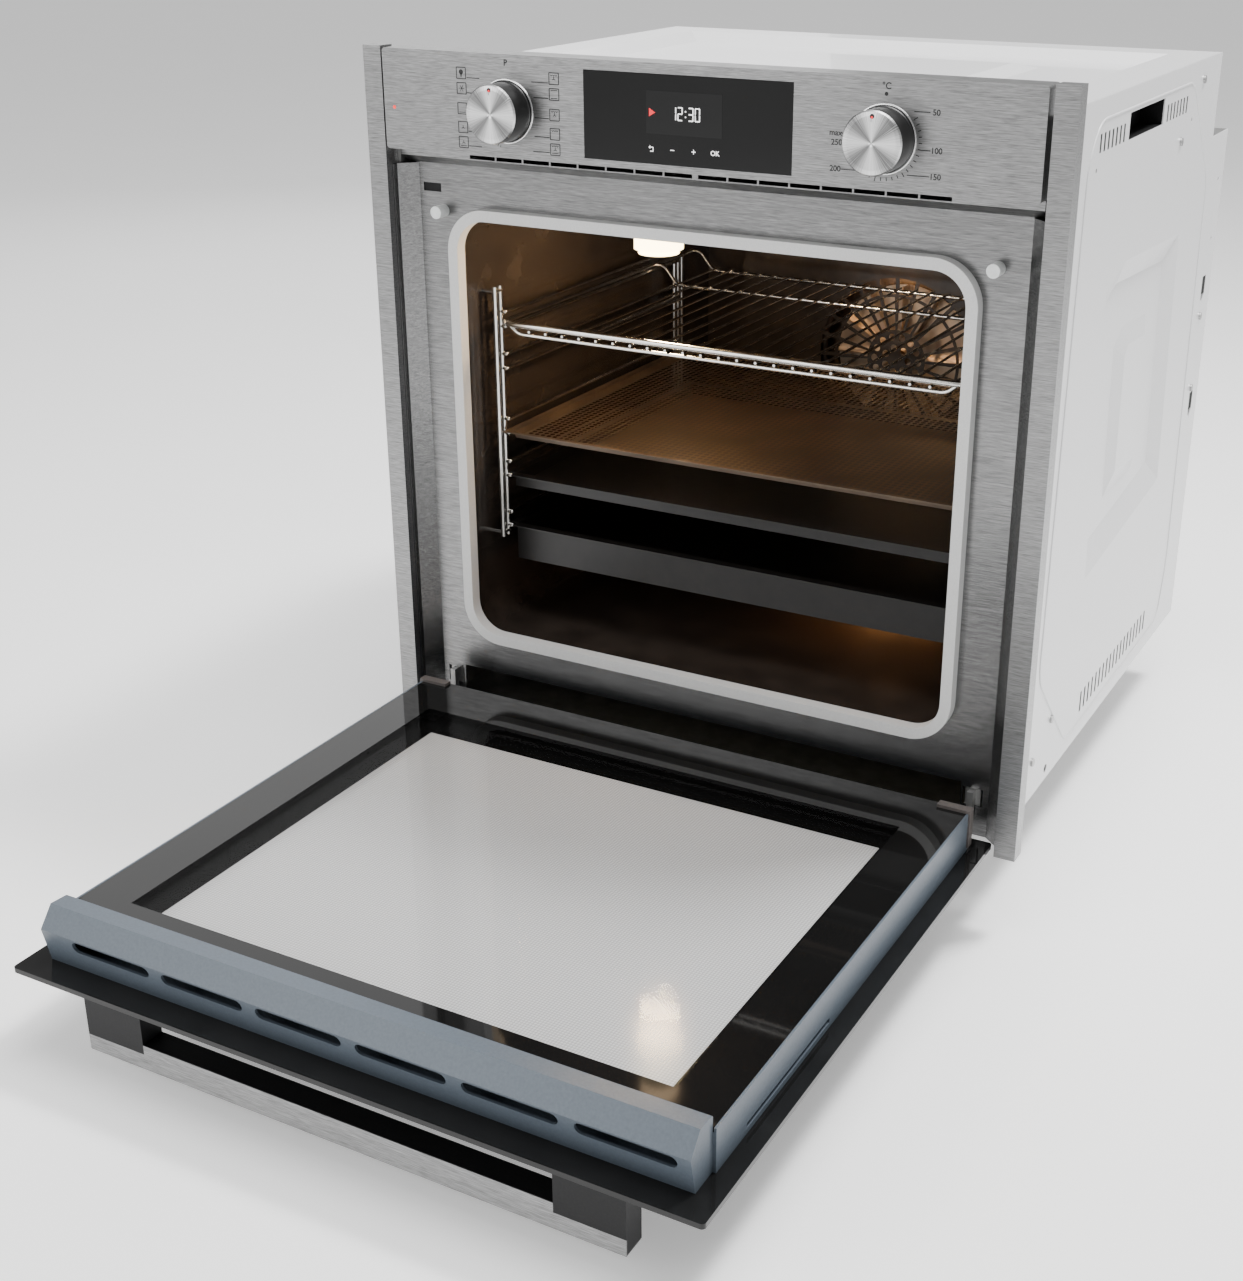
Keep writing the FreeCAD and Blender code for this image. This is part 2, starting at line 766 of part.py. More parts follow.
def frame_side(side):
    """Folded edge of the frame: a sloping cove, then a flange that points forward."""
    body = doc.addObject("PartDesign::Body", "FrameSide")
    inner = "body_width/2 - frame_cove"
    outer = "body_width/2 + 0.7"
    section = [
        (f"{side} * ({inner})", "frame_face"),
        (f"{side} * ({outer} - frame_sheet)", "-5"),
        (f"{side} * ({outer} - frame_sheet)", "frame_flange_front"),
        (f"{side} * ({outer})", "frame_flange_front"),
        (f"{side} * ({outer})", "-4.4"),
        (f"{side} * ({inner})", "frame_face + frame_sheet"),
    ]
    sketch = outline(body, "XY_Plane", "frame_bottom", section)
    pad(body, sketch, "frame_top - 6.4 - frame_bottom")
    return body


hinge_slots = [
    block(
        span(side, "hinge_offset - 8.5", "hinge_offset + 8.5"),
        ("frame_face - 1", "frame_face + frame_sheet + 1"),
        ("20", "35.6"),
    )
    for side in (-1, 1)
]
front_frame = cut(
    join(frame_plate, frame_side(-1), frame_side(1)),
    rounded_block(MOUTH_X, ("frame_face - 1", "frame_face + frame_sheet + 1"), MOUTH_Z, "mouth_radius"),
    block(
        ("-inlet_half_width", "inlet_half_width"),
        ("frame_face - 1", "frame_face + frame_sheet + 1"),
        ("frame_bottom - 1", "inlet_top"),
    ),
    block(("-261", "-243.5"), ("frame_face - 1", "frame_face + frame_sheet + 1"), ("470", "477")),
    *hinge_slots,
)
part(front_frame, "front_frame")

part(
    cut(
        rounded_block(
            ("-mouth_half_width - gasket_width", "mouth_half_width + gasket_width"),
            ("frame_face - gasket_height", "frame_face"),
            ("mouth_bottom - gasket_width", "mouth_top + gasket_width"),
            "mouth_radius + gasket_width",
        ),
        rounded_block(MOUTH_X, ("frame_face - gasket_height - 1", "frame_face + 1"), MOUTH_Z, "mouth_radius"),
    ),
    "cavity_gasket",
)


def bumper(side):
    """Pin that the closed door rests against."""
    return rod(
        "bumper_radius",
        "y",
        f"{side} * bumper_offset",
        ("frame_face - bumper_length", "frame_face"),
        "bumper_height",
    )


part(collect(bumper(-1), bumper(1)), "door_bumpers")
part(
    block(("-263", "-241"), ("frame_face + frame_sheet", "frame_face + frame_sheet + 22"), ("467", "480")),
    "door_switch",
)

# ---------------------------------------------------------------- cavity

CAVITY_FRONT = "frame_face + frame_sheet"
cavity_outer = rounded_block(
    ("-cavity_half_width - cavity_sheet", "cavity_half_width + cavity_sheet"),
    (CAVITY_FRONT, "cavity_depth + cavity_sheet"),
    ("cavity_floor - cavity_sheet", "cavity_ceiling + cavity_sheet"),
    "cavity_radius + cavity_sheet",
)
cavity_inner = rounded_block(
    ("-cavity_half_width", "cavity_half_width"),
    (f"{CAVITY_FRONT} - 1", "cavity_depth"),
    ("cavity_floor", "cavity_ceiling"),
    "cavity_radius",
)
LAMP_X = "-88"
LAMP_Y = "100"
lead_holes = [
    rod("element_radius + 0.3", "y", str(x), ("cavity_depth - 5", "cavity_depth + 5"), "fan_height + ring_radius")
    for x in (-10, 10)
]
grill_holes = [
    rod("element_radius + 0.3", "y", str(x), ("cavity_depth - 5", "cavity_depth + 5"), "cavity_ceiling - 20")
    for x in (-30, 30)
]
part(
    cut(
        cavity_outer,
        cavity_inner,
        rod("20", "z", LAMP_X, LAMP_Y, ("cavity_ceiling - 5", "cavity_ceiling + 5")),
        rod("fan_shaft + 2", "y", "0", ("cavity_depth - 5", "cavity_depth + 5"), "fan_height"),
        *lead_holes,
        *grill_holes,
    ),
    "cavity_liner",
)

wrap_outer = block(
    ("-cavity_half_width - cavity_sheet - insulation", "cavity_half_width + cavity_sheet + insulation"),
    (f"{CAVITY_FRONT} + 3", "cavity_depth"),
    ("cavity_floor - cavity_sheet - insulation", "cavity_ceiling + cavity_sheet + insulation"),
)
wrap_inner = rounded_block(
    ("-cavity_half_width - cavity_sheet", "cavity_half_width + cavity_sheet"),
    (CAVITY_FRONT, "cavity_depth + 5"),
    ("cavity_floor - cavity_sheet", "cavity_ceiling + cavity_sheet"),
    "cavity_radius + cavity_sheet",
)
lamp_well = rod("24.5", "z", LAMP_X, LAMP_Y, ("cavity_ceiling", "cavity_ceiling + insulation + 5"))
switch_pocket = block(("-264", "-240"), (CAVITY_FRONT, f"{CAVITY_FRONT} + 25"), ("465", "482"))
receiver_pockets = [
    block(span(side, "hinge_offset - 11", "hinge_offset + 12"), (CAVITY_FRONT, f"{CAVITY_FRONT} + 60"), ("15", "60"))
    for side in (-1, 1)
]
heater_pocket = block(("-172", "172"), ("70", "410"), ("cavity_floor - 12", "cavity_floor"))
rear_batt = cut(
    block(
        ("-cavity_half_width", "cavity_half_width"),
        ("cavity_depth + cavity_sheet", "upper_depth - 3"),
        ("cavity_floor", "cavity_ceiling"),
    ),
    rod("42", "y", "0", ("cavity_depth - 5", "upper_depth + 5"), "fan_height"),
    *[rod("6", "y", str(x), ("cavity_depth", "upper_depth"), "fan_height + ring_radius") for x in (-10, 10)],
    *[rod("6", "y", str(x), ("cavity_depth", "upper_depth"), "cavity_ceiling - 20") for x in (-30, 30)],
)
wrap = cut(wrap_outer, wrap_inner, lamp_well, switch_pocket, heater_pocket, *receiver_pockets)
part(collect(wrap, rear_batt), "insulation")
DUCT_FLOOR = "cavity_ceiling + cavity_sheet + insulation"
part(
    cut(
        block(
            ("-body_width/2 + panel_sheet + flange_sheet + 1", "body_width/2 - panel_sheet - flange_sheet - 1"),
            (f"{CAVITY_FRONT} + seat_gap", "upper_depth - 4"),
            (DUCT_FLOOR, f"{DUCT_FLOOR} + 1"),
        ),
        rod("20", "z", LAMP_X, LAMP_Y, (f"{DUCT_FLOOR} - 5", f"{DUCT_FLOOR} + 5")),
    ),
    "duct_floor",
)

# Cavity lamp: holder through the ceiling, glass dome that hangs into the cavity, and the bulb in it.
lamp_holder = cut(
    join(
        rod("19.5", "z", LAMP_X, LAMP_Y, ("cavity_ceiling + 0.5", f"{DUCT_FLOOR} + 3")),
        rod("24", "z", LAMP_X, LAMP_Y, ("cavity_ceiling + cavity_sheet", "cavity_ceiling + cavity_sheet + 3")),
    ),
    rod("15", "z", LAMP_X, LAMP_Y, ("cavity_ceiling", "cavity_ceiling + 22")),
)
part(lamp_holder, "lamp_holder")
lamp_glass = cut(
    join(
        rod("24", "z", LAMP_X, LAMP_Y, ("cavity_ceiling - 12", "cavity_ceiling")),
        rod("21", "z", LAMP_X, LAMP_Y, ("cavity_ceiling - lamp_drop + 4", "cavity_ceiling - 12")),
        rod("17.5", "z", LAMP_X, LAMP_Y, ("cavity_ceiling - lamp_drop", "cavity_ceiling - lamp_drop + 4")),
    ),
    rod("18.5", "z", LAMP_X, LAMP_Y, ("cavity_ceiling - lamp_drop + 5.5", "cavity_ceiling + 1")),
    rod("15", "z", LAMP_X, LAMP_Y, ("cavity_ceiling - lamp_drop + 2.5", "cavity_ceiling")),
)
part(lamp_glass, "lamp_glass")
part(
    join(
        rod("7", "z", LAMP_X, LAMP_Y, ("cavity_ceiling - lamp_drop + 8", "cavity_ceiling + 14")),
        rod("9", "z", LAMP_X, LAMP_Y, ("cavity_ceiling + 12", "cavity_ceiling + 22")),
    ),
    "lamp_bulb",
)

# ---------------------------------------------------------------- heaters and fans

def bent_wire(radius, points):
    """Round wire through points one axis apart, with a ball at each bend; points are formulas."""
    pieces = []
    for start, end in zip(points, points[1:]):
        axis = [i for i in range(3) if start[i] != end[i]][0]
        low, high = sorted((start, end), key=lambda p: doc_value(p[axis]))
        place = list(start)
        place[axis] = (low[axis], high[axis])
        pieces.append(rod(radius, "xyz"[axis], *place))
    for corner in points[1:-1]:
        ball = doc.addObject("Part::Sphere", "Bend")
        bind(ball, "Radius", radius)
        for base, place in zip("xyz", corner):
            bind(ball, f"Placement.Base.{base}", place)
        pieces.append(ball)
    return pieces


def doc_value(text):
    """A formula's value with the sizes as they stand."""
    value = sheet.evalExpression(formula(text))
    return getattr(value, "Value", value)


# Perforated cover in front of the fan, with rings of arched slots.
def arched_slots(inner, outer, count, bar):
    """A ring of arched slots between two radii of the fan cover; a bar of that many degrees parts them."""
    slots = []
    for i in range(count):
        wedge = rod(str(outer), "y", "0", ("fan_cover_face - 1", "fan_cover_face + 3"), "fan_height")
        wedge.Angle = 360 / count - bar
        core = rod(str(inner), "y", "0", ("fan_cover_face - 2", "fan_cover_face + 4"), "fan_height")
        turn = Rotation(Vector(1, 0, 0), -90).multiply(Rotation(Vector(0, 0, 1), i * 360 / count))
        wedge.Placement = Placement(wedge.Placement.Base, turn)
        slots.append(cut(wedge, core))
    return slots


cover_plate = rounded_block(
    ("-fan_cover_half", "fan_cover_half"),
    ("fan_cover_face", "fan_cover_face + 1"),
    ("fan_height - 165", "fan_height + 175"),
    "12",
)
cover_flanges = [
    block(
        span(side, "fan_cover_half - 1", "fan_cover_half"),
        ("fan_cover_face", "cavity_depth"),
        ("fan_height - 150", "fan_height + 150"),
    )
    for side in (-1, 1)
]
part(
    cut(
        join(cover_plate, *cover_flanges),
        *arched_slots(31, 64, 24, 4),
        *arched_slots(67, 83, 24, 3),
        *[
            rod(
                "3.6",
                "y",
                f"{ring * math.cos(2 * math.pi * i / count):.3f}",
                ("fan_cover_face - 1", "fan_cover_face + 3"),
                f"fan_height + {ring * math.sin(2 * math.pi * i / count):.3f}",
            )
            for ring, count in ((23.5, 14), (12.5, 7))
            for i in range(count)
        ],
    ),
    "fan_cover",
)

# Fan wheel with flat blades on a back disc; its shaft runs back into the motor.
fan_pieces = [
    rod("fan_radius", "y", "0", ("462", "463.2"), "fan_height"),
    rod("9", "y", "0", ("446", "463.2"), "fan_height"),
    rod("fan_shaft", "y", "0", ("446", "500"), "fan_height"),
]
for i in range(12):
    blade = block(("20", "fan_radius"), ("448", "462.5"), ("-0.6", "0.6"))
    about = Rotation(Vector(0, 1, 0), i * 30)
    hub = join(blade)
    hub.Shapes = [blade, block(("20", "22"), ("460", "463"), ("-2", "2"))]
    hub.Placement = Placement(Vector(), about)
    bind(hub, "Placement.Base.z", "fan_height")
    fan_pieces.append(hub)
part(join(*fan_pieces), "convection_fan")
motor = join(
    rod("34", "y", "0", ("cavity_depth + cavity_sheet + 3", "full_depth - 14"), "fan_height"),
    rod("46", "y", "0", ("upper_depth - 1.5", "upper_depth"), "fan_height"),
)
part(
    cut(motor, rod("fan_shaft + running_gap", "y", "0", ("cavity_depth", "505"), "fan_height")),
    "fan_motor",
)

ring = doc.addObject("Part::Torus", "Ring")
bind(ring, "Radius1", "ring_radius")
bind(ring, "Radius2", "element_radius")
ring.Placement = Placement(Vector(), Rotation(Vector(1, 0, 0), -90))
bind(ring, "Placement.Base.y", "455")
bind(ring, "Placement.Base.z", "fan_height")
ring_leads = [
    rod("element_radius", "y", str(x), ("455", "cavity_depth + 12"), "fan_height + ring_radius")
    for x in (-10, 10)
]
part(join(ring, *ring_leads), "ring_heater")

GRILL_Z = "cavity_ceiling - 20"
grill_path = [
    (str(x), y, GRILL_Z)
    for x, y in (
        (-30, "cavity_depth + 12"),
        (-30, "420"),
        (-150, "420"),
        (-150, "150"),
        (-70, "150"),
        (-70, "370"),
        (70, "370"),
        (70, "150"),
        (150, "150"),
        (150, "420"),
        (30, "420"),
        (30, "cavity_depth + 12"),
    )
]
part(join(*bent_wire("element_radius", grill_path)), "grill_element")
FLOOR_HEATER_Z = "cavity_floor - cavity_sheet - element_radius"
floor_path = [
    (str(x), y, FLOOR_HEATER_Z)
    for x, y in (
        (-40, "405"),
        (-40, "200"),
        (-150, "200"),
        (-150, "90"),
        (150, "90"),
        (150, "200"),
        (40, "200"),
        (40, "405"),
    )
]
part(join(*bent_wire("element_radius", floor_path)), "floor_heater")

# Cross-flow blower that cools the controls: bladed wheel, scroll housing and motor.
wheel_x = ("-blower_length/2", "blower_length/2")
wheel_pieces = [
    rod("blower_radius", "x", (f"{place} - 1", f"{place} + 1"), "blower_y", "blower_z")
    for place in (wheel_x[0], "0", wheel_x[1])
]
wheel_pieces.append(rod("3", "x", (f"{wheel_x[0]} - 6", f"{wheel_x[1]} + 20"), "blower_y", "blower_z"))
for i in range(16):
    blade = block(wheel_x, ("-0.5", "0.5"), ("blower_radius - 6", "blower_radius - 0.4"))
    ring_place = doc.addObject("Part::Compound", "Blade")
    ring_place.Links = [blade]
    ring_place.Placement = Placement(Vector(), Rotation(Vector(1, 0, 0), i * 22.5))
    bind(ring_place, "Placement.Base.y", "blower_y")
    bind(ring_place, "Placement.Base.z", "blower_z")
    wheel_pieces.append(ring_place)
part(join(*wheel_pieces), "blower_wheel")
housing_x = (f"{wheel_x[0]} - 6", f"{wheel_x[1]} + 6")
housing = cut(
    block(housing_x, ("blower_y - 32", "blower_y + 32"), (f"{DUCT_FLOOR} + 1", "blower_z + 32")),
    block(
        (f"{housing_x[0]} + 1.5", f"{housing_x[1]} - 1.5"),
        ("blower_y - 33", "blower_y + 30.5"),
        (DUCT_FLOOR, "blower_z + 30.5"),
    ),
    rod("3.05", "x", (f"{housing_x[0]} - 1", f"{housing_x[1]} + 1"), "blower_y", "blower_z"),
)
part(housing, "blower_housing")
part(
    cut(
        rod("22", "x", (housing_x[1], f"{housing_x[1]} + 42"), "blower_y", "blower_z"),
        rod("3.05", "x", (f"{housing_x[1]} - 1", f"{housing_x[1]} + 20"), "blower_y", "blower_z"),
    ),
    "blower_motor",
)

# ---------------------------------------------------------------- racks, shelf and trays

LEVELS = ("lowest_level", "second_level", "third_level", "fourth_level", "top_level")


def rack(side):
    """Wire rack on a side wall: a pair of guide wires for each level, held by its uprights."""
    upright_x = f"{side} * (rack_offset + 2 * rack_wire + 0.6)"
    uprights = ["rack_front", "rack_front + upright_pitch"]
    uprights += [f"rack_rear + {lift}" for lift in ("0", "upright_pitch", "2 * upright_pitch")]
    between = span(side, "rack_offset", "rack_offset + 2 * rack_wire + 0.6")
    pieces = []
    for level in LEVELS:
        for lift in ("0", "wire_gap"):
            height = f"{level} + {lift}"
            ends = (uprights[1], uprights[2])
            pieces.append(rod("rack_wire", "y", f"{side} * rack_offset", ends, height))
            for y in ends:
                pieces.append(rod("rack_wire", "x", between, y, height))
                ball = doc.addObject("Part::Sphere", "Bend")
                bind(ball, "Radius", "rack_wire")
                bind(ball, "Placement.Base.x", f"{side} * rack_offset")
                bind(ball, "Placement.Base.y", y)
                bind(ball, "Placement.Base.z", height)
                pieces.append(ball)
    reach = ("lowest_level - 9", "rack_top")
    wall = span(side, "rack_offset + 2 * rack_wire + 0.6", "cavity_half_width")
    for y in uprights:
        pieces.append(rod("rack_wire + 0.2", "z", upright_x, y, reach))
    for z in ("lowest_level - 5", "rack_top - 4"):
        pieces.append(rod("rack_wire", "y", upright_x, (uprights[0], uprights[1]), z))
        pieces.append(rod("rack_wire", "y", upright_x, (uprights[2], uprights[4]), z))
        for y in (uprights[0], uprights[3]):
            pieces.append(rod("rack_wire", "x", wall, y, z))
    return join(*pieces)


mirrored_pair(rack, "rack")


def rim_height(level):
    """Height of a tray's rim on the lower guide wire of a level, counted from 0."""
    return f"{LEVELS[level]} + rack_wire + seat_gap"


def tray(level, depth, holes=0):
    """Pressed tray that slides on its side rims."""
    rim = rim_height(level)
    rim_part = block(
        ("-tray_half_width", "tray_half_width"),
        ("tray_front + 8", "tray_rear"),
        (rim, f"{rim} + tray_sheet"),
    )
    lip = block(
        ("-tray_inner_half - tray_sheet", "tray_inner_half + tray_sheet"),
        ("tray_front", "tray_rear"),
        (rim, f"{rim} + tray_sheet"),
    )
    basin = block(
        ("-tray_inner_half - tray_sheet", "tray_inner_half + tray_sheet"),
        ("tray_front + 8", "tray_rear - 8"),
        (f"{rim} - {depth} + tray_sheet", rim),
    )
    inside = block(
        ("-tray_inner_half", "tray_inner_half"),
        ("tray_front + 8 + tray_sheet", "tray_rear - 8 - tray_sheet"),
        (f"{rim} - {depth} + 2 * tray_sheet", f"{rim} + tray_sheet + 1"),
    )
    cuts = [inside]
    for i in range(holes):
        for j in range(holes - 2):
            cuts.append(
                rod(
                    "4.5",
                    "z",
                    f"{2 * i / (holes - 1) - 1:.4f} * (tray_inner_half - 15)",
                    f"{74 + j * 294 / (holes - 3)}",
                    (f"{rim} - {depth}", f"{rim} - {depth} + 3 * tray_sheet"),
                )
            )
    return cut(join(rim_part, lip, basin), *cuts)


part(tray(2, "7", holes=12), "perforated_tray")
part(tray(1, "shallow_depth"), "shallow_tray")
part(tray(0, "deep_depth"), "deep_tray")

SHELF_Z = f"{rim_height(4)} + shelf_wire"
SHELF_SIDE = "rack_offset - 1"
SHELF_FOOT = "rack_offset - 10.5"
FRONT_FOOT = "rack_offset - 20.5"
GRID_Z = f"{SHELF_Z} - shelf_drop"
BAR_Z = f"{GRID_Z} - shelf_rod - 1.6"
shelf_pieces = bent_wire(
    "shelf_wire",
    [
        (f"-({SHELF_SIDE})", "tray_rear", SHELF_Z),
        (f"-({SHELF_SIDE})", "tray_front", SHELF_Z),
        (SHELF_SIDE, "tray_front", SHELF_Z),
        (SHELF_SIDE, "tray_rear", SHELF_Z),
    ],
)
for y in ("tray_rear - 78", "tray_rear"):
    shelf_pieces += bent_wire(
        "2",
        [
            (f"-({SHELF_SIDE})", y, SHELF_Z),
            (f"-({SHELF_FOOT})", y, SHELF_Z),
            (f"-({SHELF_FOOT})", y, BAR_Z),
            (SHELF_FOOT, y, BAR_Z),
            (SHELF_FOOT, y, SHELF_Z),
            (SHELF_SIDE, y, SHELF_Z),
        ],
    )
shelf_pieces += bent_wire(
    "1.7",
    [
        (f"-({FRONT_FOOT})", "tray_front", SHELF_Z),
        (f"-({FRONT_FOOT})", "tray_front", f"{SHELF_Z} - 8.6"),
        (FRONT_FOOT, "tray_front", f"{SHELF_Z} - 8.6"),
        (FRONT_FOOT, "tray_front", SHELF_Z),
    ],
)
for i in range(23):
    x = f"{(i - 11) / 11:.4f} * (rack_offset - 30.9)"
    shelf_pieces += bent_wire(
        "shelf_rod",
        [
            (x, "tray_front - 3.6", f"{SHELF_Z} - 4.6"),
            (x, "tray_front + 5", f"{SHELF_Z} - 4.6"),
            (x, "tray_front + 5", GRID_Z),
            (x, "tray_rear + 3", GRID_Z),
        ],
    )
part(join(*shelf_pieces), "wire_shelf")

# ---------------------------------------------------------------- hinges

def hinge_arm(side):
    """Cranked steel arm from its receiver behind the frame to the door's pivot pin."""
    x = span(side, "hinge_offset - hinge_arm_width/2", "hinge_offset + hinge_arm_width/2")
    bar = block(x, ("pivot_y", "6"), ("8", "pivot_z + 1"))
    riser = block(x, ("0.2", "6.2"), ("8", "34.6"))
    hook = block(x, ("6", "50"), ("21", "34.6"))
    boss = rod("7.5", "x", x, "pivot_y", "pivot_z")
    bore = rod("pivot_radius + running_gap", "x", span(side, "hinge_offset - 10", "hinge_offset + 10"),
               "pivot_y", "pivot_z")
    return cut(join(bar, riser, hook, boss), bore)


def hinge_receiver(side):
    """Steel block behind the frame that the arm is hooked into."""
    outer = block(
        span(side, "hinge_offset - 6.5", "hinge_offset + 6.5"),
        (CAVITY_FRONT, f"{CAVITY_FRONT} + 46"),
        ("17", "39"),
    )
    return cut(
        outer,
        block(
            span(side, "hinge_offset - hinge_arm_width/2", "hinge_offset + hinge_arm_width/2"),
            (f"{CAVITY_FRONT} - 1", "50"),
            ("21", "34.6"),
        ),
    )


part(collect(hinge_arm(-1), hinge_arm(1)), "hinge_arms")
part(collect(hinge_receiver(-1), hinge_receiver(1)), "hinge_receivers")


def hinge_yoke(side):
    """Forked bracket inside the door, with the pin that turns in the arm."""
    pieces = []
    for near, far in (("hinge_offset - 6", "hinge_offset - 4"), ("hinge_offset + 4", "hinge_offset + 6")):
        x = span(side, near, far)
        pieces.append(block(x, ("-150", "pivot_y"), ("pivot_z - 8", "pivot_z + 8")))
        pieces.append(block(x, ("-150", "-60"), ("door_under + glass_sheet", "pivot_z")))
        pieces.append(rod("8", "x", x, "pivot_y", "pivot_z"))
    pieces.append(
        block(
            span(side, "hinge_offset - 6", "hinge_offset + 6"),
            ("-150", "-60"),
            ("door_under + glass_sheet", "door_under + glass_sheet + 2"),
        )
    )
    pieces.append(
        rod("pivot_radius", "x", span(side, "hinge_offset - 6", "hinge_offset + 6"), "pivot_y", "pivot_z")
    )
    return join(*pieces)


part(collect(hinge_yoke(-1), hinge_yoke(1)), "hinge_yokes")

# ---------------------------------------------------------------- door

GLASS_TOP = "door_under + glass_sheet"
INNER_UNDER = "inner_glass_top - glass_sheet"
part(
    plate(("-door_glass_half", "door_glass_half"), ("door_tip", "door_heel"), ("door_under", GLASS_TOP), "3"),
    "door_outer_glass",
)
part(
    block(("-hinge_offset + 8.5", "hinge_offset - 8.5"), ("rail_heel + 2", "-48"), ("15", "19")),
    "door_middle_glass",
)
part(
    plate(
        ("-inner_glass_half", "inner_glass_half"),
        ("rail_heel", "inner_glass_heel"),
        (INNER_UNDER, "inner_glass_top"),
        "2.5",
    ),
    "door_inner_glass",
)

spacers = []
for sx in (-1, 1):
    for y in (("rail_heel + 6", "rail_heel + 26"), ("-72", "-52")):
        x = span(sx, "222", "240")
        spacers.append(block(x, y, (GLASS_TOP, "15")))
        spacers.append(block(x, y, ("19", INNER_UNDER)))
part(collect(*spacers), "pane_spacers")

top_rail = new_body("door_top_rail")
rail_section = [
    ("rail_foot", GLASS_TOP),
    ("rail_nose", "rail_nose_height"),
    ("rail_crown", "rail_height"),
    ("rail_heel - 1", "rail_height - 1"),
    ("rail_heel", "rail_height - 2"),
    ("rail_heel", GLASS_TOP),
]
pad(top_rail, outline(top_rail, "YZ_Plane", "-rail_half_length", rail_section), "2 * rail_half_length")
rail_hollow = [
    ("rail_foot + rail_wall", f"{GLASS_TOP} + rail_wall"),
    ("rail_nose + rail_wall + 0.3", "rail_nose_height - 0.4"),
    ("rail_crown + rail_wall/2", "rail_height - rail_wall"),
    ("rail_heel - rail_wall", "rail_height - rail_wall - 1"),
    ("rail_heel - rail_wall", f"{GLASS_TOP} + rail_wall"),
]
pocket(
    top_rail,
    outline(top_rail, "YZ_Plane", "-rail_half_length + 3", rail_hollow),
    "2 * rail_half_length - 6",
    reverse=True,
)
rail_slot = []
slot_ends = (
    ("rail_slot_start + rail_slot_width - rail_slot_round", -90),
    ("rail_slot_start + rail_slot_round", 90),
)
for end, place in slot_ends:
    for step in range(7):
        angle = math.radians(place + 30 * step)
        across_slot = f"{end} + {math.cos(angle):.4f} * rail_slot_round"
        up_slot = f"22.5 + {math.sin(angle):.4f} * rail_slot_round"
        rail_slot.append((across_slot, up_slot))
rail_slot_sketch = outline(top_rail, "XZ_Plane", "-rail_nose + 6", rail_slot)
rail_slot_cut = pocket(top_rail, rail_slot_sketch, "12")
doc.recompute()
repeat(top_rail, rail_slot_cut, rail_slot_sketch, "H_Axis", "rail_slot_pitch", 6)


def side_rail(side):
    """Side member that holds the panes apart; its lip covers the inner pane's edge."""
    y = ("rail_heel", "-31")
    web = block(
        span(side, "inner_glass_half - 3", "inner_glass_half + 2"),
        y,
        (GLASS_TOP, INNER_UNDER),
    )
    lip = block(span(side, "inner_glass_half + 0.3", "inner_glass_half + 2"), y, (INNER_UNDER, "inner_glass_top"))
    slot = block(span(side, "inner_glass_half - 5", "inner_glass_half + 5"), ("-428", "-302"), ("5", "9"))
    return cut(join(web, lip), slot)


part(collect(side_rail(-1), side_rail(1)), "door_side_rails")
part(
    cut(
        block(("-240", "240"), ("-39", "-29"), (GLASS_TOP, INNER_UNDER)),
        block(("-241", "241"), ("-40", "-30.5"), (f"{GLASS_TOP} + 1.5", f"{INNER_UNDER} - 1.5")),
    ),
    "door_bottom_rail",
)


def hinge_cover(side):
    """Angle plate over the inner pane's corner at the hinge."""
    top = block(
        span(side, "236", "inner_glass_half + 3.5"),
        ("-34", "inner_glass_heel"),
        ("inner_glass_top", "inner_glass_top + 2.5"),
    )
    leg = block(
        span(side, "inner_glass_half + 2", "inner_glass_half + 3.5"),
        ("-34", "inner_glass_heel"),
        ("4", "inner_glass_top + 1"),
    )
    return join(top, leg)


part(collect(hinge_cover(-1), hinge_cover(1)), "hinge_covers")

# Handle: a black core with two posts up to the outer glass, and a folded steel face.
HANDLE_Y = ("handle_front + handle_skin", "handle_back")
HANDLE_BOTTOM = "door_under - handle_reach"
POST_BOTTOM = f"{HANDLE_BOTTOM} + handle_lip"
handle_pieces = [
    block(
        ("-handle_half", "handle_half"),
        HANDLE_Y,
        (f"{HANDLE_BOTTOM} + handle_skin", POST_BOTTOM),
    ),
    block(
        ("-handle_half + handle_post", "handle_half - handle_post"),
        HANDLE_Y,
        (f"{HANDLE_BOTTOM} + handle_skin", f"{HANDLE_BOTTOM} + handle_bar_height"),
    ),
]
for side in (-1, 1):
    handle_pieces.append(
        block(
            span(side, "handle_half - handle_post", "handle_half"),
            ("handle_front", "handle_back"),
            (POST_BOTTOM, "door_under"),
        )
    )
part(join(*handle_pieces), "handle_core")
part(
    join(
        block(("-handle_half", "handle_half"), ("handle_front", HANDLE_Y[0]), (HANDLE_BOTTOM, POST_BOTTOM)),
        block(
            ("-handle_half + handle_post", "handle_half - handle_post"),
            ("handle_front", HANDLE_Y[0]),
            (HANDLE_BOTTOM, f"{HANDLE_BOTTOM} + handle_bar_height"),
        ),
        block(
            ("-handle_half", "handle_half"),
            ("handle_front", "handle_back"),
            (HANDLE_BOTTOM, f"{HANDLE_BOTTOM} + handle_skin"),
        ),
    ),
    "handle_face",
)

# ---------------------------------------------------------------- screws of the casing

screws = []
for side in (-1, 1):
    for y, z in ((423, 547.6), (360.6, 502), (516, 318.6), (513.6, 248), (119, 56), (72.7, 35.8)):
        screws.append(
            rod("3.4", "x", span(side, "body_width/2", "body_width/2 + 1.8"), str(y), str(z))
        )
part(collect(*screws), "casing_screws")

# ---------------------------------------------------------------- checks and export

doc.recompute()
names = [thing.Label for thing in PARTS]
assert len(set(names)) == len(names), "two sub-parts share a name"
for thing in doc.Objects:
    assert "Invalid" not in thing.State and "Error" not in thing.State, f"{thing.Label}: {thing.State}"
os.makedirs("parts", exist_ok=True)
for thing in PARTS:
    shape = thing.Shape
    assert not shape.isNull() and shape.isValid() and shape.Volume > 0, thing.Label
    shape.exportStep(f"parts/{thing.Label}.step")
print(len(PARTS), "sub-parts")
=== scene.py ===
import math

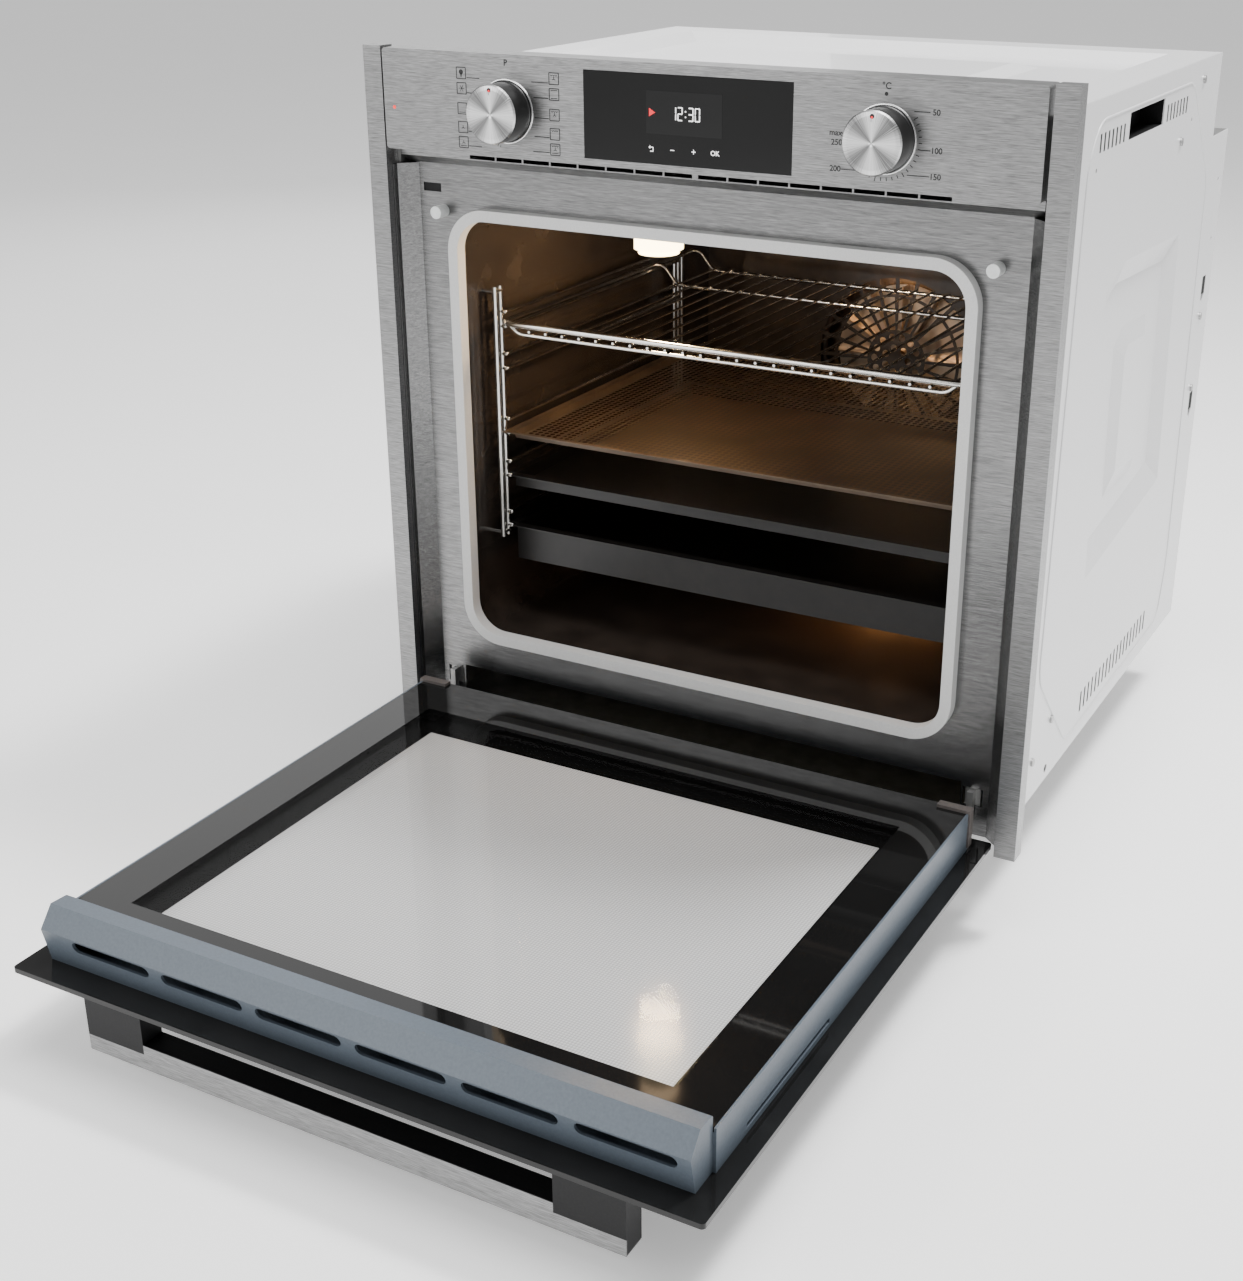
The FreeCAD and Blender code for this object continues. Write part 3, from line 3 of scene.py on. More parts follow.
import bmesh
import bpy
from mathutils import Matrix, Vector


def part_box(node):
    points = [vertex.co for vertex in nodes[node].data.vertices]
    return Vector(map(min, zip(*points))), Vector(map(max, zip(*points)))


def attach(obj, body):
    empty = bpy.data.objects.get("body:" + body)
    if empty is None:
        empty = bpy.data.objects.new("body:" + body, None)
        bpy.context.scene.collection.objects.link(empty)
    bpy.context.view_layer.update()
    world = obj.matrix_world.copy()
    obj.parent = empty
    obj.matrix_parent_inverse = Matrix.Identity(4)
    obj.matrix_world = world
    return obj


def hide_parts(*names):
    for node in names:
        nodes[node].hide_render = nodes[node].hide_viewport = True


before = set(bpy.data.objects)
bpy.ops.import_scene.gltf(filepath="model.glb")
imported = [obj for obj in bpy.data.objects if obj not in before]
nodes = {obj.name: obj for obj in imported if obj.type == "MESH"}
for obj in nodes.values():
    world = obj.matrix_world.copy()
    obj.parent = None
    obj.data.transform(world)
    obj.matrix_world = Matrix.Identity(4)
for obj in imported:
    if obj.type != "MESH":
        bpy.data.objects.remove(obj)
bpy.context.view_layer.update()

# Brushed stainless steel of the whole front: rolled sheet with a fine grain that runs
# from left to right, which breaks into short wavy streaks. The grain is shared by every
# steel piece, so it is one node group with its own scale and strength for each.


def steel_grain_group():
    group = bpy.data.node_groups.new("steel_grain", "ShaderNodeTree")
    face = group.interface
    face.new_socket("Stretch", in_out="INPUT", socket_type="NodeSocketVector")
    face.new_socket("Tone", in_out="OUTPUT", socket_type="NodeSocketFloat")
    face.new_socket("Height", in_out="OUTPUT", socket_type="NodeSocketFloat")
    tree = group.nodes
    entry = tree.new("NodeGroupInput")
    leave = tree.new("NodeGroupOutput")
    place = tree.new("ShaderNodeTexCoord")
    scale = tree.new("ShaderNodeVectorMath")
    scale.operation = "MULTIPLY"
    wave = tree.new("ShaderNodeTexNoise")
    wave.inputs["Scale"].default_value = 1.0
    wave.inputs["Detail"].default_value = 3.0
    wave.inputs["Distortion"].default_value = 0.6
    fine = tree.new("ShaderNodeTexNoise")
    fine.inputs["Scale"].default_value = 2.7
    fine.inputs["Detail"].default_value = 2.0
    blend = tree.new("ShaderNodeMath")
    blend.operation = "ADD"
    half = tree.new("ShaderNodeMath")
    half.operation = "MULTIPLY"
    half.inputs[1].default_value = 0.5
    link = group.links.new
    link(place.outputs["Object"], scale.inputs[0])
    link(entry.outputs["Stretch"], scale.inputs[1])
    link(scale.outputs[0], wave.inputs["Vector"])
    link(scale.outputs[0], fine.inputs["Vector"])
    link(wave.outputs["Fac"], blend.inputs[0])
    link(fine.outputs["Fac"], blend.inputs[1])
    link(blend.outputs[0], half.inputs[0])
    link(half.outputs[0], leave.inputs["Tone"])
    link(fine.outputs["Fac"], leave.inputs["Height"])
    return group


def new_material(name):
    material = bpy.data.materials.new(name)
    material.use_nodes = True
    graph = material.node_tree
    return material, graph.nodes, graph.links.new, graph.nodes["Principled BSDF"]


def ramp_between(tree, dark, light, start=0.0, end=1.0):
    ramp = tree.new("ShaderNodeValToRGB")
    ramp.color_ramp.elements[0].position = start
    ramp.color_ramp.elements[0].color = (*dark, 1)
    ramp.color_ramp.elements[1].position = end
    ramp.color_ramp.elements[1].color = (*light, 1)
    return ramp


def brushed_steel(name, dark, light, rough, stretch):
    material, tree, link, shader = new_material(name)
    grain = tree.new("ShaderNodeGroup")
    grain.node_tree = STEEL_GRAIN
    grain.inputs["Stretch"].default_value = stretch
    tone = ramp_between(tree, dark, light, 0.36, 0.64)
    bump = tree.new("ShaderNodeBump")
    bump.inputs["Strength"].default_value = 0.18
    bump.inputs["Distance"].default_value = 0.0003
    shader.inputs["Metallic"].default_value = 1.0
    shader.inputs["Roughness"].default_value = rough
    link(grain.outputs["Tone"], tone.inputs["Fac"])
    link(tone.outputs["Color"], shader.inputs["Base Color"])
    link(grain.outputs["Height"], bump.inputs["Height"])
    link(bump.outputs["Normal"], shader.inputs["Normal"])
    return material


STEEL_GRAIN = steel_grain_group()
front_steel = brushed_steel(
    "front_steel", (0.17, 0.17, 0.17), (0.38, 0.38, 0.38), 0.33, (50, 300, 1500)
)
frame_steel = brushed_steel(
    "frame_steel", (0.16, 0.16, 0.16), (0.29, 0.29, 0.29), 0.26, (40, 250, 700)
)


def finish(names, material):
    for name in names:
        nodes[name].data.materials.clear()
        nodes[name].data.materials.append(material)


finish(
    ("side_trim_left", "side_trim_right", "control_fascia", "vent_strip", "handle_face"),
    front_steel,
)
finish(("front_frame",), frame_steel)


# Satin powder coat of the casing: pale grey paint over pressed sheet, with the faint
# orange peel of sprayed powder.
def mottled(
    name, dark, light, rough, scale, metallic=0.0, bump_strength=0.05, coat=0.0, specular=0.5
):
    material, tree, link, shader = new_material(name)
    place = tree.new("ShaderNodeTexCoord")
    noise = tree.new("ShaderNodeTexNoise")
    noise.inputs["Scale"].default_value = scale
    noise.inputs["Detail"].default_value = 4.0
    tone = ramp_between(tree, dark, light, 0.3, 0.7)
    bump = tree.new("ShaderNodeBump")
    bump.inputs["Strength"].default_value = bump_strength
    bump.inputs["Distance"].default_value = 0.0005
    shader.inputs["Roughness"].default_value = rough
    shader.inputs["Metallic"].default_value = metallic
    shader.inputs["Coat Weight"].default_value = coat
    shader.inputs["Specular IOR Level"].default_value = specular
    link(place.outputs["Object"], noise.inputs["Vector"])
    link(noise.outputs["Fac"], tone.inputs["Fac"])
    link(tone.outputs["Color"], shader.inputs["Base Color"])
    link(noise.outputs["Fac"], bump.inputs["Height"])
    link(bump.outputs["Normal"], shader.inputs["Normal"])
    return material


casing_paint = mottled(
    "casing_paint", (0.66, 0.66, 0.665), (0.71, 0.71, 0.715), 0.28, 900, coat=0.3
)
finish(("side_panel_left", "side_panel_right", "top_panel"), casing_paint)
zinc_sheet = mottled(
    "zinc_sheet", (0.34, 0.34, 0.335), (0.47, 0.47, 0.465), 0.42, 60, metallic=1.0
)
finish(
    (
        "mounting_flanges",
        "base_panel",
        "rear_bulkhead",
        "rear_cover",
        "panel_carrier",
        "duct_floor",
        "blower_housing",
        "blower_motor",
        "fan_motor",
        "casing_screws",
        "hinge_receivers",
        "hinge_yokes",
        "hinge_arms",
        "blower_wheel",
    ),
    zinc_sheet,
)
# Convection fan: steel whose orange tone is painted warm lamp light, falling on it behind its
# guard.
fan_steel = mottled("fan_steel", (0.55, 0.42, 0.30), (0.72, 0.58, 0.44), 0.3, 40, metallic=1.0)
finish(("convection_fan",), fan_steel)

# Small inner pieces: moulded plastic, the circuit board and the mineral wool wrap.
black_moulding = mottled(
    "black_moulding", (0.005, 0.005, 0.0055), (0.010, 0.010, 0.0105), 0.46, 700, specular=0.22
)
finish(
    ("cable_gland", "door_switch", "grip_cups", "handle_core", "pane_spacers"),
    black_moulding,
)
white_moulding = mottled("white_moulding", (0.76, 0.78, 0.77), (0.86, 0.88, 0.87), 0.3, 300)
finish(("terminal_block", "rotary_selectors", "door_bumpers", "lamp_holder"), white_moulding)
board_green = mottled("board_green", (0.01, 0.10, 0.04), (0.02, 0.16, 0.07), 0.5, 200)
finish(("control_board",), board_green)
wool = mottled(
    "mineral_wool", (0.42, 0.36, 0.20), (0.62, 0.55, 0.36), 0.95, 120, bump_strength=0.6
)
finish(("insulation",), wool)

# Cavity liner: steel enamelled dark brown and fired, so it is glossy and nearly black
# where no lamp light reaches it.
enamel = mottled("cavity_enamel", (0.022, 0.017, 0.014), (0.040, 0.031, 0.025), 0.20, 35)
finish(("cavity_liner", "fan_cover"), enamel)
tray_enamel = mottled("tray_enamel", (0.006, 0.0055, 0.005), (0.012, 0.010, 0.009), 0.34, 90)
finish(("shallow_tray", "deep_tray"), tray_enamel)

# Seal round the cavity mouth: light grey silicone over a woven core, clipped in the frame.
seal = mottled("seal", (0.60, 0.60, 0.595), (0.70, 0.70, 0.69), 0.55, 1400, bump_strength=0.2)
finish(("cavity_gasket",), seal)

# Plated wire of the racks and the shelf.
plated_wire = mottled(
    "plated_wire", (0.68, 0.66, 0.62), (0.82, 0.80, 0.77), 0.16, 80, metallic=1.0
)
finish(("rack_left", "rack_right", "wire_shelf"), plated_wire)
heater_sheath = mottled(
    "heater_sheath", (0.10, 0.08, 0.07), (0.17, 0.14, 0.12), 0.5, 150, metallic=0.6
)
finish(("grill_element", "ring_heater", "floor_heater"), heater_sheath)

# Wire shelf: a thick wire frame that slides on the top pair of guide wires. Two rods across
# the front hold the ends of the long thin wires, which dip behind them to form the grid.
shelf_low, shelf_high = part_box("wire_shelf")


CORNER_STEPS = 6


def bent(points, round_off):
    """The route with each corner rounded by a short curve through three places."""
    places = [Vector(point) for point in points]
    route = [places[0]]
    for before, corner, after in zip(places, places[1:], places[2:]):
        reach = min(round_off, (before - corner).length / 2, (after - corner).length / 2)
        start = corner + (before - corner).normalized() * reach
        end = corner + (after - corner).normalized() * reach
        for step in range(CORNER_STEPS + 1):
            t = step / CORNER_STEPS
            route.append(start.lerp(corner, t).lerp(corner.lerp(end, t), t))
    route.append(places[-1])
    return route


def placed(name, mesh, body):
    """A piece of that name made from the mesh, which rides on the body."""
    thing = bpy.data.objects.new(name, mesh)
    bpy.context.scene.collection.objects.link(thing)
    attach(thing, body)
    return thing


def wires(name, runs, radius, round_off, body, material):
    """Round wire along each run of places, made from one curve and kept as a mesh."""
    curve = bpy.data.curves.new(name, "CURVE")
    curve.dimensions = "3D"
    curve.bevel_depth = radius
    curve.bevel_resolution = 2
    curve.use_fill_caps = True
    for run in runs:
        route = bent(run, round_off)
        spline = curve.splines.new("POLY")
        spline.points.add(len(route) - 1)
        for point, place in zip(spline.points, route):
            point.co = (*place, 1)
    shape = bpy.data.objects.new(name, curve)
    mesh = bpy.data.meshes.new_from_object(shape)
    bpy.data.objects.remove(shape)
    mesh.materials.clear()
    mesh.materials.append(material)
    mesh.polygons.foreach_set("use_smooth", [True] * len(mesh.polygons))
    return placed(name, mesh, body)


FRAME_WIRE = 0.0026
CROSS_WIRE = 0.0020
FRONT_WIRE = 0.0017
GRID_WIRE = 0.0012
GRID_DROP = 0.015
GRID_WIRES = 23
GRID_PITCH = 0.0166
CROSS_BAR_GAP = 0.078
CROSS_BAR_FLAT = 0.010
CROSS_BAR_DIP = 0.024
CROSS_BAR_UNDER_GRID = 0.0029
FRONT_BAR_HALF = 0.205
FRONT_BAR_DROP = 0.0080
side_x = shelf_high[0] - FRAME_WIRE
frame_z = shelf_high[2] - FRAME_WIRE
front_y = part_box("deep_tray")[0][1]
back_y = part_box("deep_tray")[1][1]
grid_z = frame_z - GRID_DROP
cross_z = grid_z - CROSS_BAR_UNDER_GRID
frame_run = [
    (-side_x, back_y, frame_z),
    (-side_x, front_y, frame_z),
    (side_x, front_y, frame_z),
    (side_x, back_y, frame_z),
]
shelf_frame = wires("shelf_frame", [frame_run], FRAME_WIRE, 0.012, "wire_shelf", plated_wire)
cross_bars = [
    [
        (-side_x, y, frame_z),
        (-side_x + CROSS_BAR_FLAT, y, frame_z),
        (-side_x + CROSS_BAR_DIP, y, cross_z),
        (side_x - CROSS_BAR_DIP, y, cross_z),
        (side_x - CROSS_BAR_FLAT, y, frame_z),
        (side_x, y, frame_z),
    ]
    for y in (back_y - CROSS_BAR_GAP, back_y)
]
wires("shelf_cross_bars", cross_bars, CROSS_WIRE, 0.008, "wire_shelf", plated_wire)
front_run = [
    (-FRONT_BAR_HALF, front_y, frame_z),
    (-FRONT_BAR_HALF + CROSS_BAR_FLAT, front_y, frame_z - FRONT_BAR_DROP),
    (FRONT_BAR_HALF - CROSS_BAR_FLAT, front_y, frame_z - FRONT_BAR_DROP),
    (FRONT_BAR_HALF, front_y, frame_z),
]
wires("shelf_front_bar", [front_run], FRONT_WIRE, 0.005, "wire_shelf", plated_wire)
grid_runs = []
for k in range(GRID_WIRES):
    x = (k - GRID_WIRES // 2) * GRID_PITCH
    grid_runs.append(
        [
            (x, front_y - 0.0030, frame_z - 0.0042),
            (x, front_y + 0.020, frame_z - 0.0048),
            (x, front_y + 0.060, grid_z),
            (x, back_y + 0.002, grid_z),
        ]
    )
wires("shelf_grid", grid_runs, GRID_WIRE, 0.016, "wire_shelf", plated_wire)
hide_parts("wire_shelf")

# Perforated tray: thin dark sheet, punched all over with close rows of round holes inside
# a plain rim that slides on the guide wires. One cell with its hole is repeated by arrays.
tray_low, tray_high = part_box("perforated_tray")
PUNCH_PITCH = 0.0062
PUNCH_RADIUS = 0.0024
PUNCH_SIDES = 8
TRAY_MARGIN = 0.010
TRAY_SHEET = 0.0005
BORDER_STEP = 0.002
WALL_HALF_WIDTH = 0.2078
WALL_HALF_DEPTH = 0.1705
tray_steel = mottled(
    "punched_steel", (0.085, 0.062, 0.045), (0.16, 0.115, 0.08), 0.42, 20, metallic=0.55
)


def finished_mesh(name, bm, materials, body):
    """Closes the bmesh into a piece of that name, which rides on the body."""
    mesh = bpy.data.meshes.new(name)
    bm.to_mesh(mesh)
    bm.free()
    for material in materials:
        mesh.materials.append(material)
    return placed(name, mesh, body)


def repeated(thing, count, step):
    """Repeats the piece count times by a step, and keeps the result as its own mesh."""
    array = thing.modifiers.new("rows", "ARRAY")
    array.count = count
    array.use_relative_offset = False
    array.use_constant_offset = True
    array.constant_offset_displace = step
    array.use_merge_vertices = True
    array.merge_threshold = 0.0001
    bpy.context.view_layer.update()
    graph = bpy.context.evaluated_depsgraph_get()
    mesh = bpy.data.meshes.new_from_object(thing.evaluated_get(graph))
    thing.modifiers.clear()
    thing.data = mesh


def link_edges(verts):
    return list({edge for vertex in verts for edge in vertex.link_edges})


def punched_sheet(columns, rows, middle, floor_z):
    """The tray's flat floor: one square cell round a hole, repeated along and across."""
    bm = bmesh.new()
    corner = PUNCH_PITCH / math.sqrt(2)
    cell = bmesh.ops.create_circle(bm, cap_ends=False, radius=corner, segments=4)
    square = Matrix.Rotation(math.pi / 4, 3, "Z")
    bmesh.ops.rotate(bm, verts=cell["verts"], cent=(0, 0, 0), matrix=square)
    bmesh.ops.subdivide_edges(bm, edges=bm.edges[:], cuts=1)
    rim = bm.edges[:]
    hole = bmesh.ops.create_circle(
        bm, cap_ends=False, radius=PUNCH_RADIUS, segments=PUNCH_SIDES
    )
    bmesh.ops.bridge_loops(bm, edges=rim + link_edges(hole["verts"]))
    bmesh.ops.recalc_face_normals(bm, faces=bm.faces)
    first = ((1 - columns) * PUNCH_PITCH / 2, middle + (1 - rows) * PUNCH_PITCH / 2, floor_z)
    bmesh.ops.translate(bm, verts=bm.verts, vec=first)
    sheet = finished_mesh("perforated_sheet", bm, (tray_steel,), "perforated_tray")
    repeated(sheet, columns, (PUNCH_PITCH, 0, 0))
    repeated(sheet, rows, (0, PUNCH_PITCH, 0))
    return sheet


def tray_border(half_x, half_y, middle, floor_z):
    """The plain rim: a flat step round the punched floor, then a sloping wall and a lip."""
    lip_x = tray_high[0]
    lip_y = (tray_high[1] - tray_low[1]) / 2
    bm = bmesh.new()
    ring_before = []
    for reach_x, reach_y, z in (
        (half_x, half_y, floor_z),
        (half_x + BORDER_STEP, half_y + BORDER_STEP, floor_z),
        (WALL_HALF_WIDTH, WALL_HALF_DEPTH, tray_high[2] - 0.0010),
        (lip_x, lip_y, tray_high[2] - 0.0008),
        (lip_x, lip_y, tray_high[2]),
    ):
        made = bmesh.ops.create_circle(bm, cap_ends=False, radius=math.sqrt(2), segments=4)
        turn = (
            Matrix.Translation((0, middle, z))
            @ Matrix.Diagonal((reach_x, reach_y, 1, 1))
            @ Matrix.Rotation(math.pi / 4, 4, "Z")
        )
        bmesh.ops.transform(bm, matrix=turn, verts=made["verts"])
        ring = link_edges(made["verts"])
        if ring_before:
            bmesh.ops.bridge_loops(bm, edges=ring_before + ring)
        ring_before = ring
    bmesh.ops.recalc_face_normals(bm, faces=bm.faces)
    finished_mesh("perforated_tray_rim", bm, (tray_steel,), "perforated_tray")


tray_floor = tray_low[2] + TRAY_SHEET
tray_middle = (tray_low[1] + tray_high[1]) / 2
columns = int((tray_high[0] - tray_low[0] - 2 * TRAY_MARGIN) / PUNCH_PITCH)
rows = int((tray_high[1] - tray_low[1] - 2 * TRAY_MARGIN) / PUNCH_PITCH)
perforated_sheet = punched_sheet(columns, rows, tray_middle, tray_floor)
tray_border(columns * PUNCH_PITCH / 2, rows * PUNCH_PITCH / 2, tray_middle, tray_floor)
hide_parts("perforated_tray")

# Lamp: heat-proof glass dome over a small halogen bulb in the cavity's ceiling.
def glowing(name, colour, strength):
    material, tree, link, shader = new_material(name)
    place = tree.new("ShaderNodeTexCoord")
    noise = tree.new("ShaderNodeTexNoise")
    noise.inputs["Scale"].default_value = 60
    tone = ramp_between(tree, tuple(0.9 * c for c in colour), colour)
    shader.inputs["Roughness"].default_value = 0.3
    shader.inputs["Emission Strength"].default_value = strength
    link(place.outputs["Object"], noise.inputs["Vector"])
    link(noise.outputs["Fac"], tone.inputs["Fac"])
    link(tone.outputs["Color"], shader.inputs["Base Color"])
    link(tone.outputs["Color"], shader.inputs["Emission Color"])
    return material


lamp_glow = glowing("lamp_glow", (1.0, 0.78, 0.42), 14.0)
finish(("lamp_glass", "lamp_bulb"), lamp_glow)
finish(("indicator_lens",), glowing("red_lens", (0.95, 0.03, 0.02), 1.5))


# Display panel: a plate of black glass, set flush in the steel of the panel, over the
# control board's display.
def printed_display():
    material, tree, link, shader = new_material("display_glass")
    place = tree.new("ShaderNodeTexCoord")
    noise = tree.new("ShaderNodeTexNoise")
    noise.inputs["Scale"].default_value = 15
    tone = ramp_between(tree, (0.005, 0.005, 0.005), (0.009, 0.009, 0.009))
    shader.inputs["Roughness"].default_value = 0.10
    shader.inputs["Specular IOR Level"].default_value = 0.35
    link(place.outputs["Object"], noise.inputs["Vector"])
    link(noise.outputs["Fac"], tone.inputs["Fac"])
    link(tone.outputs["Color"], shader.inputs["Base Color"])
    return material


finish(("display_glass",), printed_display())

# Door glass: the outer pane is black all over; the middle pane is a pale coated window
# of fine dots inside a black printed border; the inner pane is clear with a low-e coat.
outer_black = mottled(
    "outer_black_glass", (0.006, 0.006, 0.006), (0.010, 0.010, 0.010), 0.05, 30, specular=0.3
)
finish(("door_outer_glass",), outer_black)

def within_window(tree, link, half_width, front, back):
    """A mask that is 1 inside a rectangle of the lying pane and 0 in its border."""
    place = tree.new("ShaderNodeTexCoord")
    split = tree.new("ShaderNodeSeparateXYZ")
    side = tree.new("ShaderNodeMath")
    side.operation = "ABSOLUTE"
    link(place.outputs["Object"], split.inputs[0])
    link(split.outputs["X"], side.inputs[0])
    tests = []
    for source, operation, limit in (
        (side.outputs[0], "LESS_THAN", half_width),
        (split.outputs["Y"], "GREATER_THAN", front),
        (split.outputs["Y"], "LESS_THAN", back),
    ):
        test = tree.new("ShaderNodeMath")
        test.operation = operation
        test.inputs[1].default_value = limit
        link(source, test.inputs[0])
        tests.append(test.outputs[0])
    mask = tests[0]
    for test in tests[1:]:
        both = tree.new("ShaderNodeMath")
        both.operation = "MULTIPLY"
        link(mask, both.inputs[0])
        link(test, both.inputs[1])
        mask = both.outputs[0]
    return mask


WINDOW = (0.2116, -0.434, -0.092)
CLEAR_WINDOW = (0.2225, -0.447, -0.078)


def window_pane():
    material, tree, link, shader = new_material("window_pane")
    window = within_window(tree, link, *WINDOW)
    place = tree.new("ShaderNodeTexCoord")
    dots = tree.new("ShaderNodeTexVoronoi")
    dots.voronoi_dimensions = "2D"
    dots.inputs["Scale"].default_value = 420
    dots.inputs["Randomness"].default_value = 0.0
    dot_tone = ramp_between(tree, (0.95, 0.95, 0.95), (0.62, 0.62, 0.62), 0.25, 0.5)
    colour = tree.new("ShaderNodeMix")
    colour.data_type = "RGBA"
    colour.inputs["A"].default_value = (0.006, 0.006, 0.006, 1)
    shader.inputs["Roughness"].default_value = 0.12
    link(place.outputs["Object"], dots.inputs["Vector"])
    link(dots.outputs["Distance"], dot_tone.inputs["Fac"])
    link(window, colour.inputs["Factor"])
    link(dot_tone.outputs["Color"], colour.inputs["B"])
    link(colour.outputs["Result"], shader.inputs["Base Color"])
    return material


finish(("door_middle_glass",), window_pane())


def inner_pane():
    material, tree, link, shader = new_material("inner_pane")
    clear = within_window(tree, link, *CLEAR_WINDOW)
    alpha = tree.new("ShaderNodeMapRange")
    alpha.inputs["To Min"].default_value = 1.0
    alpha.inputs["To Max"].default_value = 0.14
    place = tree.new("ShaderNodeTexCoord")
    noise = tree.new("ShaderNodeTexNoise")
    noise.inputs["Scale"].default_value = 12
    tone = ramp_between(tree, (0.004, 0.004, 0.004), (0.008, 0.008, 0.008))
    shader.inputs["Roughness"].default_value = 0.04
    shader.inputs["Specular IOR Level"].default_value = 0.35
    link(place.outputs["Object"], noise.inputs["Vector"])
    link(clear, alpha.inputs["Value"])
    link(alpha.outputs[0], shader.inputs["Alpha"])
    link(noise.outputs["Fac"], tone.inputs["Fac"])
    link(tone.outputs["Color"], shader.inputs["Base Color"])
    return material


finish(("door_inner_glass",), inner_pane())

# Door rails: pressed sheet painted blue-grey in a satin finish.
rail_paint = mottled("rail_paint", (0.075, 0.094, 0.116), (0.092, 0.114, 0.140), 0.36, 500)
finish(("door_top_rail", "door_side_rails", "door_bottom_rail"), rail_paint)
taupe = mottled("taupe_moulding", (0.085, 0.075, 0.070), (0.115, 0.10, 0.095), 0.45, 400)
finish(("hinge_covers",), taupe)

# Control knobs: turned aluminium, with a radially spun face and a dark satin side. The table
# holds the X and Z of each centre. What lies in front of FACE_DEPTH is the bright face.
KNOBS = {"function_knob": (-0.159, 0.543), "temperature_knob": (0.159, 0.543)}
FACE_DEPTH = -0.0412
# Painted highlight: the spun face turns lighter and darker four times round its centre, where
# light would catch the spun marks.
PAINTED_HIGHLIGHT_LOBES = 4.0


def spun_face(name, centre_x, centre_z):
    material, tree, link, shader = new_material(name)
    place = tree.new("ShaderNodeTexCoord")
    centre = tree.new("ShaderNodeMapping")
    centre.inputs["Location"].default_value = (-centre_x, 0, -centre_z)
    split = tree.new("ShaderNodeSeparateXYZ")
    angle = tree.new("ShaderNodeMath")
    angle.operation = "ARCTAN2"
    spokes = tree.new("ShaderNodeMath")
    spokes.operation = "MULTIPLY"
    spokes.inputs[1].default_value = PAINTED_HIGHLIGHT_LOBES
    wave = tree.new("ShaderNodeMath")
    wave.operation = "COSINE"
    streak = tree.new("ShaderNodeTexNoise")
    streak.noise_dimensions = "1D"
    streak.inputs["Scale"].default_value = 24.0
    streak.inputs["Detail"].default_value = 6.0
    spin = tree.new("ShaderNodeMath")
    # Painted highlight lobes, raised and then mixed with the radial streaks of the spinning.
    spin.operation = "MULTIPLY_ADD"
    spin.inputs[1].default_value = 0.24
    spin.inputs[2].default_value = 0.2
    lift = tree.new("ShaderNodeMath")
    lift.operation = "MULTIPLY_ADD"
    lift.inputs[1].default_value = 0.55
    tone = ramp_between(tree, (0.16, 0.16, 0.16), (0.90, 0.90, 0.90), 0.2, 0.8)
    depth = tree.new("ShaderNodeMath")
    depth.operation = "LESS_THAN"
    depth.inputs[1].default_value = FACE_DEPTH
    body = tree.new("ShaderNodeMix")
    body.data_type = "RGBA"
    body.inputs["A"].default_value = (0.085, 0.085, 0.085, 1)
    shader.inputs["Metallic"].default_value = 1.0
    shader.inputs["Roughness"].default_value = 0.32
    link(place.outputs["Object"], centre.inputs["Vector"])
    link(centre.outputs[0], split.inputs[0])
    link(split.outputs["Z"], angle.inputs[0])
    link(split.outputs["X"], angle.inputs[1])
    link(angle.outputs[0], spokes.inputs[0])
    link(spokes.outputs[0], wave.inputs[0])
    link(angle.outputs[0], streak.inputs["W"])
    link(wave.outputs[0], spin.inputs[0])
    link(streak.outputs["Fac"], lift.inputs[0])
    link(spin.outputs[0], lift.inputs[2])
    link(lift.outputs[0], tone.inputs["Fac"])
    link(split.outputs["Y"], depth.inputs[0])
    link(depth.outputs[0], body.inputs["Factor"])
    link(tone.outputs["Color"], body.inputs["B"])
    link(body.outputs["Result"], shader.inputs["Base Color"])
    return material


for knob, (x, z) in KNOBS.items():
    finish((knob,), spun_face(f"{knob}_metal", x, z))

# Pointer of each knob: a round inlay near the rim, black with a red lower half; and the
# bright ring, set in the panel, that each knob stands on.
FASCIA_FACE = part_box("control_fascia")[0][1]
PRINT_LIFT = 0.00012
black_ink = mottled("black_ink", (0.006, 0.006, 0.006), (0.012, 0.012, 0.012), 0.5, 400)
# The red ink glows a little. On the display's arrow it is the lit sign; on the knobs' pointers it
# is a painted glow, as they are no lamps.
glowing_red_ink = glowing("glowing_red_ink", (0.95, 0.02, 0.03), 0.6)
bright_ring = mottled(
    "bright_ring", (0.72, 0.72, 0.72), (0.86, 0.86, 0.86), 0.22, 200, metallic=1.0
)
RING_PROFILE = ((0.0236, 0.0), (0.0236, 0.0005), (0.0240, 0.0008), (0.0246, 0.0007), (0.0250, 0.0))


def disc(bm, x, y, z, radius, segments=24, slot_index=0, turn=0.0):
    """A flat round print that faces the front."""
    made = bmesh.ops.create_circle(bm, cap_ends=True, radius=radius, segments=segments)
    place = (
        Matrix.Translation((x, y, z))
        @ Matrix.Rotation(turn, 4, "Y")
        @ Matrix.Rotation(math.pi / 2, 4, "X")
    )
    bmesh.ops.transform(bm, matrix=place, verts=made["verts"])
    faces = {face for vertex in made["verts"] for face in vertex.link_faces}
    for face in faces:
        face.material_index = slot_index
    return list(faces)


def hoop(bm, x, y, z, radius, width, segments=28):
    """A flat printed ring: a disc inset by the width, with its middle taken out."""
    faces = disc(bm, x, y, z, radius, segments)
    bmesh.ops.inset_region(bm, faces=faces, thickness=width, use_even_offset=True)
    bmesh.ops.delete(bm, geom=faces, context="FACES")


def bar(bm, x0, z0, x1, z1, width, y):
    """A flat printed line from one place on the panel to another."""
    made = bmesh.ops.create_grid(bm, x_segments=1, y_segments=1, size=0.5)
    long = math.hypot(x1 - x0, z1 - z0)
    place = (
        Matrix.Translation(((x0 + x1) / 2, y, (z0 + z1) / 2))
        @ Matrix.Rotation(-math.atan2(z1 - z0, x1 - x0), 4, "Y")
        @ Matrix.Rotation(math.pi / 2, 4, "X")
        @ Matrix.Diagonal((long, width, 1, 1))
    )
    bmesh.ops.transform(bm, matrix=place, verts=made["verts"])


